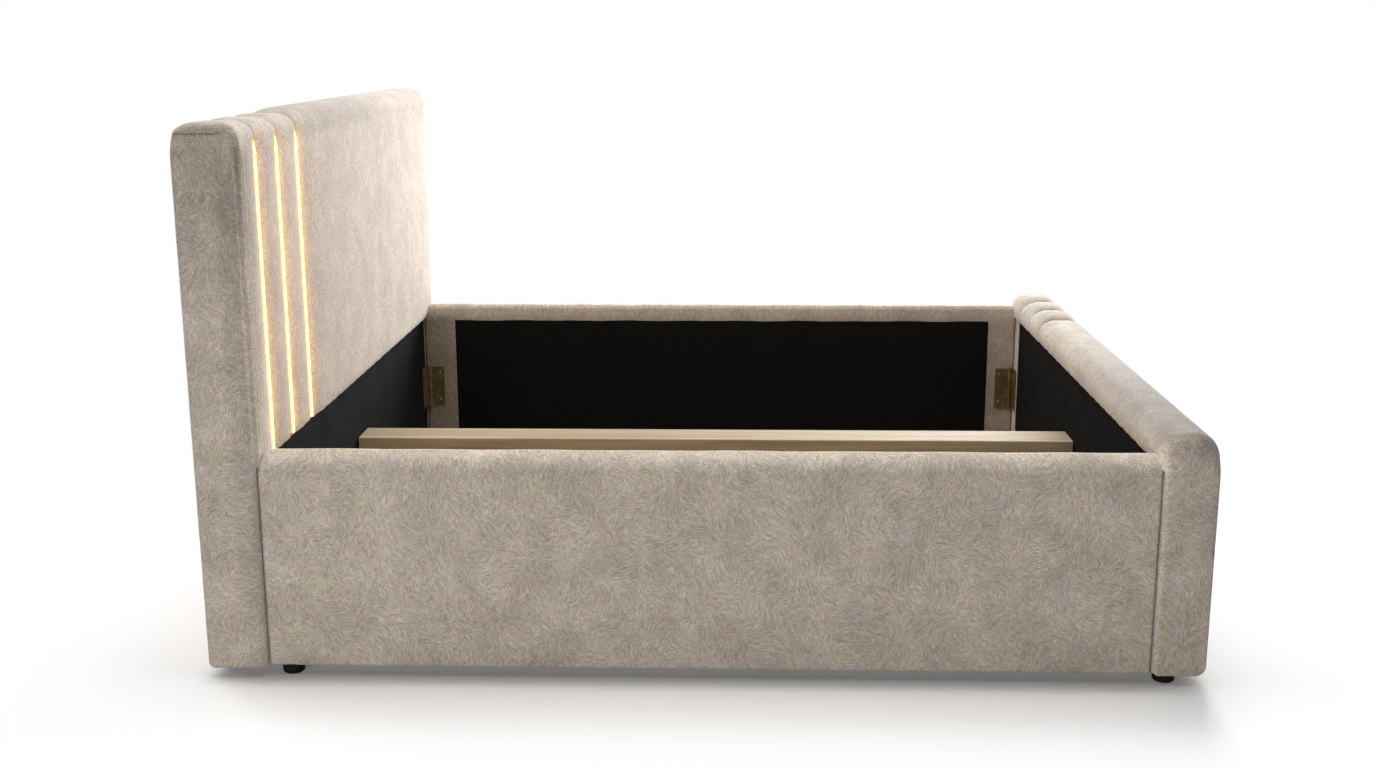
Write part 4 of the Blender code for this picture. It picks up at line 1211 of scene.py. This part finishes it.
def studio():
    """A pale floor, a dim even room, broad soft lamps all round, and the light strips' spill."""
    floor_mesh = bpy.data.meshes.new("studio_floor")
    reach = 60.0
    corners = [(-reach, -reach, 0), (reach, -reach, 0), (reach, reach, 0), (-reach, reach, 0)]
    floor_mesh.from_pydata(corners, [], [(0, 1, 2, 3)])
    floor_mesh.materials.append(pale_floor())
    floor = bpy.data.objects.new("studio_floor", floor_mesh)
    bpy.context.scene.collection.objects.link(floor)

    world = bpy.data.worlds.new("studio_room")
    bpy.context.scene.world = world
    world.use_nodes = True
    tree = world.node_tree
    sky = tree.nodes["Background"]
    path = tree.nodes.new("ShaderNodeLightPath")
    seen = path.outputs["Is Camera Ray"]
    for name in ("Is Glossy Ray", "Is Transmission Ray"):
        either = tree.nodes.new("ShaderNodeMath")
        either.operation = "MAXIMUM"
        tree.links.new(seen, either.inputs[0])
        tree.links.new(path.outputs[name], either.inputs[1])
        seen = either.outputs[0]
    level = tree.nodes.new("ShaderNodeMapRange")
    tree.links.new(seen, level.inputs[0])
    level.inputs[3].default_value = room_level
    level.inputs[4].default_value = 1.0
    tree.links.new(level.outputs[0], sky.inputs["Strength"])
    sky.inputs["Color"].default_value = (1.0, 1.0, 1.0, 1.0)

    lamp("overhead_window", 70.0, (0.0, 0.1, 3.4), (0.0, 0.0, 0.0), (3.0, 2.6), (1.0, 0.995, 0.985))
    lamp("back_left_window", 30.0, (-3.2, 1.6, 1.3), (-1.1, -0.6, 0.7), (1.0, 1.6), (1.0, 1.0, 1.0))
    lamp("right_window", 225.0, (1.6, 3.4, 1.8), (-0.9, 0.6, 0.9), (2.0, 2.0), (0.99, 0.985, 0.99))
    lamp("left_window", 36.0, (-2.6, 0.0, 3.0), (1.0, 0.0, 0.5), (1.5, 2.5), (1.0, 0.98, 0.96))
    lamp("front_window", 10.0, (-0.2, -1.4, 3.2), (0.0, -0.6, 0.0), (3.5, 1.2), (1.0, 0.995, 0.985))
    lamp("low_front_panel", 44.0, (-0.3, -4.4, 0.5), (-0.3, -0.9, 0.2), (3.0, 0.8),
         (0.985, 1.0, 1.0))
    lamp("low_left_panel", 8.0, (-2.4, -3.2, 0.55), (-0.6, -0.9, 0.2), (2.0, 0.9), (1.0, 1.0, 0.97))
    for number in (1, 2, 3):
        low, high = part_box(f"led_diffuser_{number}")
        y, z = (low.y + high.y) / 2, (low.z + high.z) / 2
        spill = lamp(f"strip_spill_{number}", strip_spill, (led_front + 0.026, y, z),
                     (led_front, y, z), (0.008, high.z - low.z), (0.80, 0.42, 0.08))
        spill.visible_camera = False
    glow = lamp("strips_glow", 0.20, (led_front + 0.3, -0.62, 0.87), (led_front, -0.62, 0.87),
                (0.35, 0.75), (1.0, 0.42, 0.08))
    glow.visible_camera = False


def lamp(name, power, place, aim, size, colour):
    """A flat lamp that looks from its place to its aim."""
    data = bpy.data.lights.new(name, "AREA")
    data.energy = power
    data.color = colour
    data.shape = "RECTANGLE"
    data.size, data.size_y = size
    light = bpy.data.objects.new(name, data)
    turn = (Vector(aim) - Vector(place)).to_track_quat("-Z", "Y")
    light.matrix_world = Matrix.Translation(place) @ turn.to_matrix().to_4x4()
    bpy.context.scene.collection.objects.link(light)
    return light


def photographer():
    """The camera, turned by its yaw, pitch and roll."""
    yaw, pitch, roll = camera_yaw, camera_pitch, camera_roll
    level = math.cos(pitch)
    forward = Vector((-math.sin(yaw) * level, math.cos(yaw) * level, -math.sin(pitch)))
    right = Vector((math.cos(yaw), math.sin(yaw), 0.0))
    up = right.cross(forward)
    turned_right = right * math.cos(roll) + up * math.sin(roll)
    turned_up = up * math.cos(roll) - right * math.sin(roll)
    camera = bpy.data.cameras.new("photo_camera")
    camera.lens = camera_lens
    camera.sensor_width = 36.0
    camera.clip_end = 200.0
    stand = bpy.data.objects.new("photo_camera", camera)
    axes = Matrix((turned_right, turned_up, -forward)).transposed().to_4x4()
    stand.matrix_world = Matrix.Translation(camera_place) @ axes
    bpy.context.scene.collection.objects.link(stand)
    bpy.context.scene.camera = stand


def main():
    """The camera and the studio first, then the finishes, then every piece in its turn."""
    bpy.context.scene.view_settings.view_transform = "Standard"
    photographer()
    studio()
    cloth = chenille()
    black = lining_cloth()
    finishes = {
        "pine": timber("pale_pine", (0.50, 0.41, 0.285, 1.0), (0.35, 0.27, 0.17, 1.0), 6.0),
        "board": timber("plywood", (0.50, 0.375, 0.225, 1.0), (0.36, 0.25, 0.14, 1.0), 6.0,
                        (1.3, 4.5, 4.5)),
        "bronze": metal("antique_bronze", (0.15, 0.112, 0.050, 1.0), (0.27, 0.205, 0.095, 1.0),
                        0.55, 0.38, 30.0),
        "steel": metal("black_steel", (0.012, 0.012, 0.012, 1.0), (0.035, 0.034, 0.032, 1.0),
                       0.4, 0.45, 70.0),
        "aluminium": metal("brushed_aluminium", (0.55, 0.55, 0.56, 1.0), (0.78, 0.78, 0.79, 1.0),
                           1.0, 0.34, 150.0),
        "plastic": moulded_plastic(),
    }
    screw = metal("screw_steel", (0.22, 0.19, 0.14, 1.0), (0.50, 0.46, 0.38, 1.0), 0.9, 0.32, 300.0)
    clad_frame(finishes)
    headboard_pads(cloth)
    headboard_shell(cloth)
    footboard_pads(cloth)
    footboard_ends(cloth)
    for side, word in ((-1, "left"), (1, "right")):
        rail_cover(side, word, cloth)
    linings(black)
    light_tubes(glowing_diffuser())
    eased_beam(finishes["pine"])
    leaf_screws(screw)
    seam_stitches(sewing_thread())


main()
